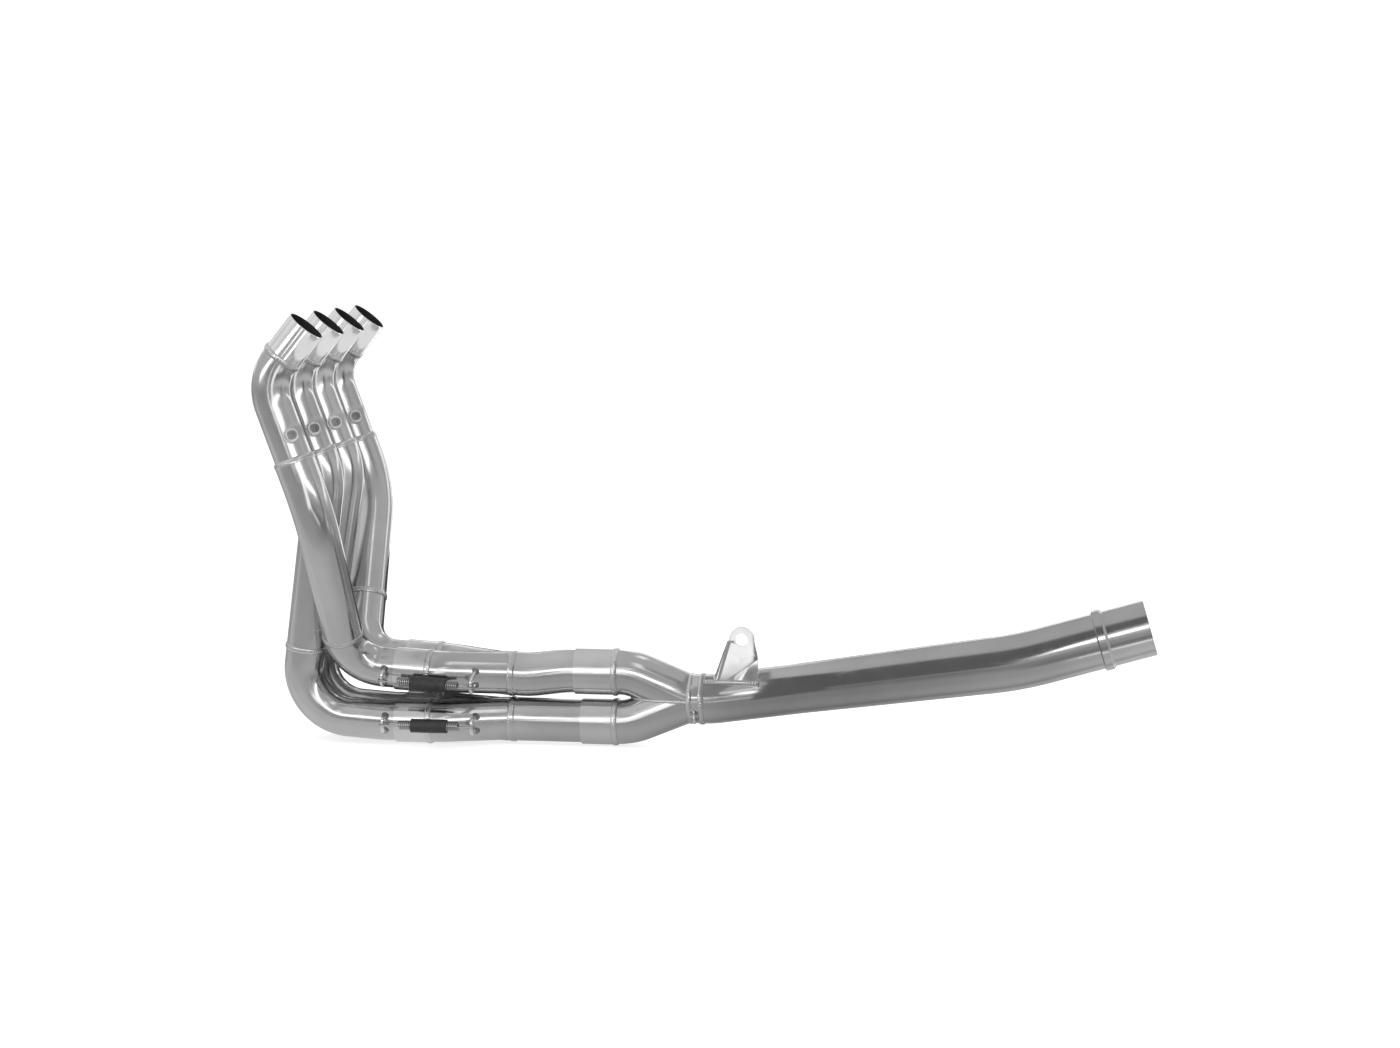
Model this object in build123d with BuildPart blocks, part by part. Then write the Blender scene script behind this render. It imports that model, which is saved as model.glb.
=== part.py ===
from build123d import *
from math import cos, radians, sin, sqrt, tan
import os

# A four-into-two-into-one exhaust header for an inline four, in millimetres.
# The origin is the middle of the row of four port mouths. X runs rearward,
# Y towards the engine's right-hand side and Z up. Pipe 1 is the left-hand one.

# Ports in the cylinder head
port_pitch = 80.0
port_lean = 51.0
stub_od = 39.0
stub_wall = 2.0
stub_length = 40.0
stub_chamfer = 0.6

# Head bends, from the stubs to the first joints
primary_od = 38.1
primary_wall = 1.2
head_lead = 2.6
head_radius = 48.0
head_run = 58.0
leg_tilt = 20.0

# Fits and welds
slip_gap = 0.1
socket_depth = 4.0
bead_half = 2.5
bead_height = 0.8

# Down pipes, which take the head bends in a short socket
down_wall = 1.5
outer_knee_lead = 22.0
outer_knee_radius = 110.0
inner_knee_lead = 5.5
inner_knee_radius = 75.0

# Lower bends, which turn rearward into the first collectors
outer_foot_radius = 40.0
inner_foot_radius = 50.0
foot_run = 14.0
foot_lead_1 = 4.0
foot_lead_2 = 17.0
foot_lead_3 = 17.0
foot_lead_4 = 32.0
nest_gap = 13.5
sump_fall = 4.0
kink_run = 17.0
kink_radius = 150.0

# First collectors: slip sleeves, then two tubes merging into one
inlet_x = 62.0
upper_drop = 357.0
upper_dip = 3.5
sleeve_wall = 1.5
sleeve_length = 35.0
sleeve_grip = 28.0
pair_gap = 0.2
slot_gap = 2.9
branch_wall = 1.2
merge_length = 81.0
merge_lead = 1.0
merge_radius = 60.0

# Secondary pipes and the last collector
secondary_step = 1.0
secondary_wall = 1.2
band_length = 5.5
band_height = 0.8
secondary_lead = 1.5
secondary_radius = 120.0
secondary_run = 68.0
upper_slip_length = 42.0
lower_slip_length = 35.0
slip_stop = 3.0
final_gap = 2.2
final_length = 78.0
final_lead = 1.0
final_radius = 70.0

# Outlet collar and tail pipe
collar_length = 12.0
collar_step = 2.15
ridge_width = 2.6
ridge_height = 0.8
tail_wall = 1.5
tail_lead = 4.2
tail_rise = 8.3
tail_rise_radius = 80.0
cone_start = 84.2
cone_length = 198.0
kick_lead = 2.5
tail_swell = 6.0
tail_kick = 8.0
tail_kick_radius = 350.0
tail_end = 111.0
stop_setback = 48.0
stop_width = 11.0
stop_height = 2.6

# Hanger bracket, a folded tab over the tail pipe
tab_along = 32.0
tab_thickness = 3.0
tab_hole = 13.0
tab_rim = 6.5
tab_hole_height = 60.5
tab_flare = 12.0
tab_fold_left = 26.0
tab_fold_right = 16.5
tab_foot_left = 10.0
tab_foot_right = 18.5
flange_fold = 60.0
flange_top = 2.0
flange_foot = 9.0

# Sampling bosses on the head bends, with their plugs
boss_run = 33.0
boss_turn = 35.0
boss_od = 13.0
boss_height = 4.5
plug_thread = 6.0
plug_fit = 0.1
plug_head = 9.0
plug_head_height = 2.5
plug_socket = 4.0

# Springs and the wire hooks that they pull on
hook_wire = 4.0
hook_width = 14.0
hook_bend = 4.0
hook_front = -9.0
hook_back = 84.0
upper_spring_drop = 15.0
lower_spring_drop = -2.0
spring_od = 10.0
spring_wire = 2.0
coil_start = 8.0
coil_end = 71.0
coil_turns = 6
rubber_start = 21.0
rubber_length = 38.0
rubber_od = 14.5
rubber_clear = 0.5
rubber_edge = 1.0
collar_hook_wire = 3.0
collar_hook_width = 9.0
collar_hook_reach = 6.0
collar_hook_drop = 36.0

# Sizes that follow from the ones above
down_od = primary_od + 2 * (slip_gap + down_wall)
sleeve_bore = down_od + 2 * slip_gap
sleeve_od = sleeve_bore + 2 * sleeve_wall
pair_spread = sleeve_od + 2 * bead_height + pair_gap
branch_od = sleeve_bore + sleeve_wall
secondary_od = branch_od + 2 * secondary_step
slip_bore = secondary_od + 2 * slip_gap
slip_od = slip_bore + 2 * sleeve_wall
final_spread = slip_od + 2 * bead_height + final_gap
final_od = slip_bore + sleeve_wall
tail_od = final_od + 2 * collar_step
outlet_od = tail_od + tail_swell
deck_length = sleeve_length + merge_length
lower_drop = upper_drop + deck_length * sin(radians(upper_dip)) + secondary_od + slot_gap
spring_reach = sleeve_od / 2 + bead_height + rubber_clear + rubber_od / 2

# Directions: out of the ports, down the upper legs, along the two decks
ahead = Vector(1, 0, 0)
across = Vector(0, 1, 0)
mouth = Vector(cos(radians(port_lean)), 0, sin(radians(port_lean)))
leg = Vector(sin(radians(leg_tilt)), 0, -cos(radians(leg_tilt)))
dip = Vector(cos(radians(upper_dip)), 0, -sin(radians(upper_dip)))
fall = Vector(cos(radians(sump_fall)), 0, -sin(radians(sump_fall)))
rise = Vector(cos(radians(tail_rise)), 0, sin(radians(tail_rise)))
kick = Vector(cos(radians(tail_rise + tail_kick)), 0, sin(radians(tail_rise + tail_kick)))

upper_deck = Plane((inlet_x, 0, -upper_drop), x_dir=dip, z_dir=dip.cross(across))
lower_deck = Plane((inlet_x, 0, -lower_drop), x_dir=ahead, z_dir=ahead.cross(across))


def is_outer(n):
    """Pipes 1 and 4 stand outside and go to the upper deck."""
    return n in (1, 4)


def tangent_length(radius, before, after):
    """Length that a bend takes from each of the two straights it joins."""
    return radius * tan(radians(before.get_angle(after) / 2))


def corner_after(start, along, lead, radius, target):
    """Corner towards a target whose bend starts a set distance after the start."""
    corner = start + along * lead
    for _ in range(12):
        corner = start + along * (lead + tangent_length(radius, along, target - corner))
    return corner


def crosswise(point, along):
    """Plane across a tube, looking along it."""
    return Plane(point, z_dir=along)


def lengthwise(point, along):
    """Plane through a tube's axis: its X runs along the tube and its Y outward."""
    return Plane(point, x_dir=along, z_dir=Plane(point, z_dir=along).x_dir)


def keep(piece, name):
    """Names a finished piece and writes it."""
    piece.label = name
    export_step(piece, f"parts/{name}.step")


def add_ring(point, along, radius, wall, profile):
    """Raised ring round a tube, from (distance along, height) pairs, rooted in the wall."""
    root = radius - wall / 2
    rim = [(x, radius + height) for x, height in profile]
    with BuildSketch(lengthwise(point, along)) as section:
        with BuildLine():
            Polyline((rim[0][0], root), *rim, (rim[-1][0], root), close=True)
        make_face()
    revolve(section.sketch, axis=Axis(point, along))


def add_half_bead(point, along, radius, wall):
    """One tube's half of the weld bead where two tubes are butted."""
    add_ring(point, along, radius, wall, [(0, bead_height), (bead_half / 2, bead_height), (bead_half, 0)])


def bent_tube(points, radii, od, wall, bead_at_start=False, bead_at_end=False):
    """Tube of straight runs and round bends, with half a weld bead on the ends asked for."""
    first = (points[1] - points[0]).normalized()
    last = (points[-2] - points[-1]).normalized()
    with BuildPart() as tube:
        with BuildLine():
            FilletPolyline(*points, radius=radii)
        with BuildSketch(crosswise(points[0], first)):
            Circle(od / 2)
            Circle(od / 2 - wall, mode=Mode.SUBTRACT)
        sweep()
        if bead_at_start:
            add_half_bead(points[0], first, od / 2, wall)
        if bead_at_end:
            add_half_bead(points[-1], last, od / 2, wall)
    return tube.part


def bent_bar(points, radii, radius):
    """Solid round bar of straight runs and round bends."""
    with BuildPart() as bar:
        with BuildLine():
            FilletPolyline(*points, radius=radii)
        with BuildSketch(crosswise(points[0], (points[1] - points[0]).normalized())):
            Circle(radius)
        sweep()
    return bar.part


def plain_sleeve(start, along, length, bore, od):
    """Straight sleeve, from its open mouth to its welded end."""
    wall = (od - bore) / 2
    with BuildPart() as sleeve:
        with BuildSketch(crosswise(start, along)):
            Circle(od / 2)
            Circle(bore / 2, mode=Mode.SUBTRACT)
        extrude(amount=length)
        add_half_bead(start + along * length, along * -1, od / 2, wall)
    return sleeve.part


def branch_route(deck, spread, length, lead, radius):
    """Route of one of two tubes that start side by side; it runs past the point where they meet."""
    meeting = Vector(length, 0)
    begin = Vector(0, spread / 2)
    corner = corner_after(begin, ahead, lead, radius, meeting)
    beyond = corner + (meeting - corner) * 1.35
    return [deck.from_local_coords(point) for point in (begin, corner, beyond)]


def merge_half(deck, spread, length, lead, radius, od):
    """One branch of a two-into-one body, solid, cut at the crease and square at the mouth."""
    with BuildPart() as half:
        add(bent_bar(branch_route(deck, spread, length, lead, radius), radius, od / 2))
        split(bisect_by=Plane(deck.origin, x_dir=deck.x_dir, z_dir=deck.y_dir), keep=Keep.TOP)
        split(bisect_by=crosswise(deck.from_local_coords((length, 0, 0)), deck.x_dir), keep=Keep.BOTTOM)
    return half.part


def merge_envelope(deck, spread, length, lead, radius, od):
    """Outside of a two-into-one body, solid."""
    with BuildPart() as envelope:
        add(merge_half(deck, spread, length, lead, radius, od))
        mirror(about=Plane(deck.origin, x_dir=deck.x_dir, z_dir=deck.y_dir))
    return envelope.part


def merge_body(deck, spread, length, lead, radius, od, wall):
    """Hollow two-into-one body, with its crease and the knife edge inside."""
    route = branch_route(deck, spread, length, lead, radius)
    with BuildPart() as body:
        add(merge_half(deck, spread, length, lead, radius, od))
        add(bent_bar(route, radius, od / 2 - wall), mode=Mode.SUBTRACT)
        mirror(about=Plane(deck.origin, x_dir=deck.x_dir, z_dir=deck.y_dir))
    return body.part


def wire_staple(frame, along, reach, width, bend, wire, tube_radius, seat):
    """Wire loop standing on a tube: the bar crosses the frame's X axis at the distance along."""
    depth = reach - sqrt(tube_radius**2 - (width / 2) ** 2) + wire
    origin = frame.from_local_coords((along, 0, 0))
    upright = Plane(origin, x_dir=frame.y_dir, z_dir=frame.x_dir)
    half = width / 2
    corners = [(-half, -depth), (-half, 0), (half, 0), (half, -depth)]
    with BuildPart() as staple:
        add(bent_bar([upright.from_local_coords(corner) for corner in corners], bend, wire / 2))
        add(seat, mode=Mode.SUBTRACT)
    return staple.part


def rod(start, along, length, radius):
    """Plain solid bar."""
    with BuildPart() as bar:
        with BuildSketch(crosswise(start, along)):
            Circle(radius)
        extrude(amount=length)
    return bar.part


# Port row, head bends and the rims of the down pipes
head_reach = stub_length + head_lead + tangent_length(head_radius, mouth * -1, leg)
ports = {n: Vector(0, (n - 2.5) * port_pitch, 0) for n in (1, 2, 3, 4)}
head_corners = {n: port - mouth * head_reach for n, port in ports.items()}
bend_ends = {n: corner + leg * tangent_length(head_radius, mouth * -1, leg) for n, corner in head_corners.items()}
rims = {n: end + leg * head_run for n, end in bend_ends.items()}

# Inlets of the first collectors: the outer pipes go to the upper deck
decks = {n: upper_deck if is_outer(n) else lower_deck for n in ports}
sides = {1: -1, 2: -1, 3: 1, 4: 1}
inlets = {n: decks[n].from_local_coords((0, sides[n] * pair_spread / 2, 0)) for n in ports}
foot_leads = {1: foot_lead_1, 2: foot_lead_2, 3: foot_lead_3, 4: foot_lead_4}
foot_radii = {n: outer_foot_radius if is_outer(n) else inner_foot_radius for n in ports}


def merge_deck(deck):
    """Plane of a merge: its deck's, from the end of the inlet sleeves."""
    return Plane(deck.from_local_coords((sleeve_length, 0, 0)), x_dir=deck.x_dir, z_dir=deck.z_dir)


def outer_corners(n):
    """Knee and foot corners of an outer pipe: each bend's length depends on the other's place."""
    foot = inlets[n] - dip * (foot_run + outer_foot_radius)
    for _ in range(12):
        knee = corner_after(rims[n], leg, outer_knee_lead, outer_knee_radius, foot)
        foot = corner_after(inlets[n], dip * -1, foot_run, outer_foot_radius, knee)
    return knee, foot


def inner_corners(n, outer_foot):
    """Knee, foot and kink of an inner pipe, whose foot stands forward of the outer ones."""
    kink = inlets[n] - ahead * kink_run
    foot = kink - fall * ((kink.X - outer_foot.X + down_od + nest_gap) / fall.X)
    knee = corner_after(rims[n], leg, inner_knee_lead, inner_knee_radius, foot)
    return knee, foot, kink


knees, feet, kinks = {}, {}, {}
for n in (1, 4):
    knees[n], feet[n] = outer_corners(n)
for n in (2, 3):
    knees[n], feet[n], kinks[n] = inner_corners(n, feet[1])

runs = {n: (feet[n] - knees[n]).normalized() for n in ports}
floors = {n: dip if is_outer(n) else fall for n in ports}
weld_backs = {n: tangent_length(foot_radii[n], runs[n], floors[n]) + foot_leads[n] for n in ports}
welds = {n: feet[n] - runs[n] * weld_backs[n] for n in ports}

# Boss axes: square to the upper legs, turned from the left towards the rear
lean_out = Vector(sin(radians(boss_turn)), -cos(radians(boss_turn)), 0)
boss_out = (lean_out - leg * lean_out.dot(leg)).normalized()
boss_seats = {n: end + leg * boss_run for n, end in bend_ends.items()}


def port_stub(n):
    """Turned sleeve that enters the cylinder head."""
    end = ports[n] - mouth * stub_length
    with BuildPart() as stub:
        with BuildSketch(crosswise(end, mouth)):
            Circle(stub_od / 2)
            Circle(stub_od / 2 - stub_wall, mode=Mode.SUBTRACT)
        extrude(amount=stub_length)
        rim_edges = stub.faces().sort_by(Axis(end, mouth))[-1].edges()
        chamfer(rim_edges, stub_chamfer)
        add_half_bead(end, mouth, stub_od / 2, stub_wall)
    return stub.part


def head_bend(n):
    """Bend from a stub to the socket of its down pipe, with a fillet weld at the socket's rim."""
    points = [ports[n] - mouth * stub_length, head_corners[n], rims[n] + leg * socket_depth]
    step = down_od / 2 - primary_od / 2
    with BuildPart() as bend:
        add(bent_tube(points, head_radius, primary_od, primary_wall, bead_at_start=True))
        add_ring(
            rims[n],
            leg * -1,
            primary_od / 2,
            primary_wall,
            [(0, step + bead_height / 2), (bead_half / 2, step), (bead_half + step, 0)],
        )
        with Locations(Plane(boss_seats[n], z_dir=boss_out)):
            Cylinder(plug_thread / 2, primary_od, align=(Align.CENTER, Align.CENTER, Align.MIN), mode=Mode.SUBTRACT)
    return bend.part


def down_pipe(n):
    """Larger tube from the socket rim to the weld above the foot."""
    radius = outer_knee_radius if is_outer(n) else inner_knee_radius
    return bent_tube([rims[n], knees[n], welds[n]], radius, down_od, down_wall, bead_at_end=True)


def lower_bend(n):
    """Foot of a pipe, whose plain end slips into the collector's sleeve."""
    heading = decks[n].x_dir
    last = inlets[n] + heading * sleeve_grip
    if is_outer(n):
        points, radii = [welds[n], feet[n], last], outer_foot_radius
    else:
        points, radii = [welds[n], feet[n], kinks[n], last], (inner_foot_radius, kink_radius)
    return bent_tube(points, radii, down_od, down_wall, bead_at_start=True)


def sampling_boss(n):
    """Small threaded boss welded to a head bend."""
    flat = Plane(boss_seats[n], z_dir=boss_out)
    leg_bar = rod(boss_seats[n] - leg * boss_od, leg, 2 * boss_od, primary_od / 2)
    with BuildPart() as boss:
        with BuildSketch(flat):
            Circle(boss_od / 2)
            Circle(plug_thread / 2 + plug_fit, mode=Mode.SUBTRACT)
        extrude(amount=primary_od / 2 + boss_height)
        add(leg_bar, mode=Mode.SUBTRACT)
    return boss.part


def sampling_plugs():
    """The four plugs: low round heads with a hexagon socket, and plain shanks."""
    height = primary_od / 2 + boss_height
    with BuildPart() as plugs:
        for n in ports:
            flat = Plane(boss_seats[n] + boss_out * height, z_dir=boss_out)
            with BuildSketch(flat):
                Circle(plug_head / 2)
            extrude(amount=plug_head_height)
            with BuildSketch(flat):
                Circle(plug_thread / 2)
            extrude(amount=-boss_height)
            with BuildSketch(flat.offset(plug_head_height)):
                RegularPolygon(plug_socket / 2, 6, major_radius=False)
            extrude(amount=-plug_head_height * 0.7, mode=Mode.SUBTRACT)
    return plugs.part


def secondary(start, points, radii):
    """Secondary pipe with the raised weld band at its front end."""
    along = (points[1] - points[0]).normalized()
    with BuildPart() as pipe:
        add(bent_tube(points, radii, secondary_od, secondary_wall))
        add_ring(
            start,
            along,
            secondary_od / 2,
            secondary_wall,
            [(0, band_height), (band_length * 0.8, band_height), (band_length, 0)],
        )
    return pipe.part


def straight_secondary(start, end):
    """Secondary pipe without bends."""
    along = (end - start).normalized()
    with BuildPart() as pipe:
        with BuildSketch(crosswise(start, along)):
            Circle(secondary_od / 2)
            Circle(secondary_od / 2 - secondary_wall, mode=Mode.SUBTRACT)
        extrude(amount=(end - start).length)
        add_ring(
            start,
            along,
            secondary_od / 2,
            secondary_wall,
            [(0, band_height), (band_length * 0.8, band_height), (band_length, 0)],
        )
    return pipe.part


# Levels of the last collector's two mouths and of its outlet
final_x = upper_deck.from_local_coords((deck_length, 0, 0)).X + secondary_run + upper_slip_length
final_upper = Vector(final_x, 0, -lower_drop + final_spread)
final_lower = Vector(final_x, 0, -lower_drop)
final_middle = (final_upper + final_lower) * 0.5
final_deck = Plane(final_middle, x_dir=ahead, z_dir=(0, -1, 0))
collar_front = final_middle + ahead * final_length
collar_back = collar_front + ahead * collar_length
rise_tangent = tangent_length(tail_rise_radius, ahead, rise)
kick_tangent = tangent_length(tail_kick_radius, rise, kick)
tail_corner = collar_back + ahead * (tail_lead + rise_tangent)
swell_from = tail_corner + rise * (rise_tangent + cone_start)
swell_to = swell_from + rise * cone_length
kick_corner = swell_to + rise * (kick_lead + kick_tangent)
tail_tip = kick_corner + kick * (kick_tangent + tail_end)


def outlet_collar():
    """Turned ring that joins the last collector to the tail pipe."""
    bore = final_od / 2 - branch_wall / 2
    wall = tail_od / 2 - bore
    ridge = [(0, ridge_height), (ridge_width / 2, ridge_height), (ridge_width, 0)]
    with BuildPart() as collar:
        with BuildSketch(crosswise(collar_front, ahead)):
            Circle(tail_od / 2)
            Circle(bore, mode=Mode.SUBTRACT)
        extrude(amount=collar_length)
        add_ring(collar_front, ahead, tail_od / 2, wall, ridge)
        add_ring(collar_back, ahead * -1, tail_od / 2, wall, ridge)
    return collar.part


def turned_bar(start, along, lead, bend_radius, onto, run, radius):
    """Solid round bar: a straight lead, one bend onto a new heading and a straight run."""
    bend_start = start + along * lead
    inward = (onto - along * onto.dot(along)).normalized()
    bend_axis = Axis(bend_start + inward * bend_radius, along.cross(onto))
    bend_end = bend_start + (along + onto) * tangent_length(bend_radius, along, onto)
    with BuildPart() as bar:
        add(rod(start, along, lead, radius))
        with BuildSketch(crosswise(bend_start, along)):
            Circle(radius)
        revolve(axis=bend_axis, revolution_arc=along.get_angle(onto))
        add(rod(bend_end, onto, run, radius))
    return bar.part


def tail_shape(inset):
    """Tail pipe's three lengths and its rolled stop bead, solid, at a depth below its outside."""
    small, large = tail_od / 2 - inset, outlet_od / 2 - inset
    bead = tail_tip - kick * stop_setback
    half, crest = stop_width / 2, large + stop_height
    with BuildPart() as shape:
        add(turned_bar(collar_back, ahead, tail_lead, tail_rise_radius, rise, cone_start, small))
        add(turned_bar(swell_to, rise, kick_lead, tail_kick_radius, kick, tail_end, large))
        with BuildSketch(lengthwise(swell_from, rise)):
            with BuildLine():
                Polyline((0, 0), (0, small), (cone_length, large), (cone_length, 0), close=True)
            make_face()
        revolve(axis=Axis(swell_from, rise))
        with BuildSketch(lengthwise(bead, kick)):
            with BuildLine():
                Polyline(
                    (-half, 0),
                    (-half, large),
                    (-half + stop_height / 2, crest),
                    (half - stop_height, crest),
                    (half, large),
                    (half, 0),
                    close=True,
                )
            make_face()
        revolve(axis=Axis(bead, kick))
    return shape.part


def tail_pipe():
    """Tail pipe, swelling towards a plain end behind its stop bead."""
    with BuildPart() as tail:
        add(tail_shape(0))
        add(tail_shape(tail_wall), mode=Mode.SUBTRACT)
    return tail.part


def folded_leaf(origin, along, inward, corners):
    """Flat leaf of the bracket's sheet, from corners given along a fold and away from it."""
    with BuildPart() as leaf:
        with BuildSketch(Plane(origin, x_dir=along, z_dir=along.cross(inward))):
            with BuildLine():
                Polyline(*corners, close=True)
            make_face()
        extrude(amount=tab_thickness / 2, both=True)
    return leaf.part


def hanger_bracket():
    """Folded tab: a drilled ear, a foot flared out to the pipe's side and a back flange."""
    foot_y = -tail_od / 3
    base = tail_corner + rise * tab_along + across * foot_y
    ear = Plane(base, x_dir=ahead, z_dir=(0, -1, 0))
    top = tab_hole / 2 + tab_rim
    fold_left, fold_right = Vector(-tab_fold_left, tail_od * 0.2), Vector(tab_fold_right, tail_od * 0.83)
    edge_top = Vector(-top * 0.96, tab_hole_height - 2)
    fold = (ear.from_local_coords(fold_right) - ear.from_local_coords(fold_left)).normalized()
    down = Vector(fold.Z, 0, -fold.X)
    flared = down * cos(radians(tab_flare)) - across * sin(radians(tab_flare))
    edge = (ear.from_local_coords(fold_left) - ear.from_local_coords(edge_top)).normalized()
    left = Vector(edge.Z, 0, -edge.X)
    back = left * cos(radians(flange_fold)) + across * sin(radians(flange_fold))
    edge_length = (fold_left - edge_top).length
    foot_right = ear.from_local_coords((tab_foot_right, tail_od * 0.15)) - ear.from_local_coords(fold_right)
    foot_left = ear.from_local_coords((-tab_foot_left, tail_od * 0.06)) - ear.from_local_coords(fold_right)
    fold_length = (fold_right - fold_left).length
    foot_corners = [
        (-fold_length, 0),
        (0, 0),
        (foot_right.dot(fold), foot_right.dot(down)),
        (foot_left.dot(fold), foot_left.dot(down)),
    ]
    flange_corners = [(0, 0), (edge_length, 0), (edge_length, flange_foot), (0, flange_top)]
    pipe_bar = rod(tail_corner + rise, rise, cone_start, tail_od / 2)
    with BuildPart() as bracket:
        with BuildSketch(ear):
            with BuildLine():
                Polyline(fold_left, fold_right, (top * 0.98, tab_hole_height - 2), edge_top, close=True)
            make_face()
            with Locations((0, tab_hole_height)):
                Circle(top)
        extrude(amount=tab_thickness / 2, both=True)
        add(folded_leaf(ear.from_local_coords(fold_right), fold, flared, foot_corners))
        add(folded_leaf(ear.from_local_coords(edge_top), edge, back, flange_corners))
        add(rod(ear.from_local_coords(fold_left), fold, fold_length - tab_thickness / 4, tab_thickness / 2))
        add(rod(ear.from_local_coords(edge_top), edge, edge_length, tab_thickness / 2))
        with BuildSketch(ear.offset(-tab_thickness)):
            with Locations((0, tab_hole_height)):
                Circle(tab_hole / 2)
        extrude(amount=2 * tab_thickness, mode=Mode.SUBTRACT)
        add(pipe_bar, mode=Mode.SUBTRACT)
    return bracket.part


# Spring axes: beside the inlet sleeves, on the outer side of each pair
spring_drops = {n: upper_spring_drop if is_outer(n) else lower_spring_drop for n in ports}


def spring_frame(n):
    """Frame on a spring's axis: X along the deck from the sleeve's mouth, Z out from the sleeve."""
    deck = decks[n]
    drop = radians(spring_drops[n])
    out = deck.y_dir * (sides[n] * cos(drop)) - deck.z_dir * sin(drop)
    return Plane(inlets[n] + out * spring_reach, x_dir=deck.x_dir, z_dir=out)


def pipe_hook(n):
    """Hook on a lower bend, ahead of its sleeve."""
    along = decks[n].x_dir
    seat = rod(inlets[n] + along * (hook_front - hook_wire), along, 2 * hook_wire, down_od / 2)
    return wire_staple(
        spring_frame(n), hook_front, spring_reach, hook_width, hook_bend, hook_wire, down_od / 2, seat
    )


def collector_hook(n):
    """Hook on a merge, behind the spring."""
    seat = merge_envelope(
        merge_deck(decks[n]), pair_spread, merge_length, merge_lead, merge_radius, branch_od
    )
    reach = spring_reach + pair_spread / 2
    return wire_staple(
        spring_frame(n), hook_back, reach, hook_width, hook_bend, hook_wire, branch_od / 2, seat
    )


def end_hook(frame, from_x, bar_x):
    """Plain end of the spring's wire, bent round a hook's bar."""
    turn = hook_wire / 2 + slip_gap + spring_wire / 2
    way = 1 if bar_x > from_x else -1
    corners = [
        (from_x, turn),
        (bar_x + way * turn, turn),
        (bar_x + way * turn, -turn),
        (bar_x - way * spring_wire * 2, -turn),
    ]
    points = [frame.from_local_coords((x, 0, z)) for x, z in corners]
    return bent_bar(points, turn * 0.98, spring_wire / 2)


def spring(n):
    """Close-wound extension spring: ridged where it is seen, plain inside its rubber."""
    frame = spring_frame(n)
    crest, root, bore = spring_od / 2, spring_od / 2 - spring_wire * 0.35, spring_od / 2 - spring_wire
    rubber_end = rubber_start + rubber_length
    outline = [(coil_start, 0)]
    for low, high in ((coil_start, rubber_start), (rubber_end, coil_end)):
        pitch = (high - low) / coil_turns
        for turn in range(coil_turns):
            outline.append((low + pitch * turn, root))
            outline.append((low + pitch * (turn + 0.5), crest))
        outline.append((high, root))
    front_cap, back_cap = coil_start + spring_wire, coil_end - spring_wire
    outline += [(coil_end, 0), (back_cap, 0), (back_cap, bore), (front_cap, bore), (front_cap, 0)]
    with BuildPart() as coil:
        with BuildSketch(lengthwise(frame.origin, frame.x_dir)):
            with BuildLine():
                Polyline(*outline, close=True)
            make_face()
        revolve(axis=Axis(frame.origin, frame.x_dir))
        add(end_hook(frame, coil_start + spring_wire / 2, hook_front))
        add(end_hook(frame, coil_end - spring_wire / 2, hook_back))
    return coil.part


def spring_sleeve(n):
    """Rubber sleeve over the middle of a spring."""
    frame = spring_frame(n)
    with BuildPart() as rubber:
        with BuildSketch(crosswise(frame.from_local_coords((rubber_start, 0, 0)), frame.x_dir)):
            Circle(rubber_od / 2)
            Circle(spring_od / 2 + slip_gap, mode=Mode.SUBTRACT)
        extrude(amount=rubber_length)
        rounds = rubber.edges().filter_by(GeomType.CIRCLE).sort_by(SortBy.RADIUS)[-2:]
        chamfer(rounds, rubber_edge)
    return rubber.part


def collar_hook():
    """Small loop under the outlet collar."""
    drop = radians(collar_hook_drop)
    out = across * -cos(drop) - Vector(0, 0, 1) * sin(drop)
    middle = collar_front + ahead * (collar_length / 2)
    reach = tail_od / 2 + collar_hook_reach
    seat = rod(middle - ahead * collar_hook_wire, ahead, 2 * collar_hook_wire, tail_od / 2)
    frame = Plane(middle + out * reach, x_dir=ahead, z_dir=out)
    return wire_staple(
        frame, 0, reach, collar_hook_width, collar_hook_wire, collar_hook_wire, tail_od / 2, seat
    )


os.makedirs("parts", exist_ok=True)

for n in ports:
    keep(port_stub(n), f"port_stub_{n}")
    keep(head_bend(n), f"head_bend_{n}")
    keep(down_pipe(n), f"down_pipe_{n}")
    keep(lower_bend(n), f"lower_bend_{n}")
    keep(sampling_boss(n), f"sampling_boss_{n}")
    keep(plain_sleeve(inlets[n], decks[n].x_dir, sleeve_length, sleeve_bore, sleeve_od), f"inlet_sleeve_{n}")
    keep(pipe_hook(n), f"pipe_hook_{n}")
    keep(collector_hook(n), f"collector_hook_{n}")
    keep(spring(n), f"spring_{n}")
    keep(spring_sleeve(n), f"spring_sleeve_{n}")
keep(sampling_plugs(), "sampling_plugs")

for name, deck in (("upper_merge", upper_deck), ("lower_merge", lower_deck)):
    keep(
        merge_body(
            merge_deck(deck), pair_spread, merge_length, merge_lead, merge_radius, branch_od, branch_wall
        ),
        name,
    )

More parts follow.
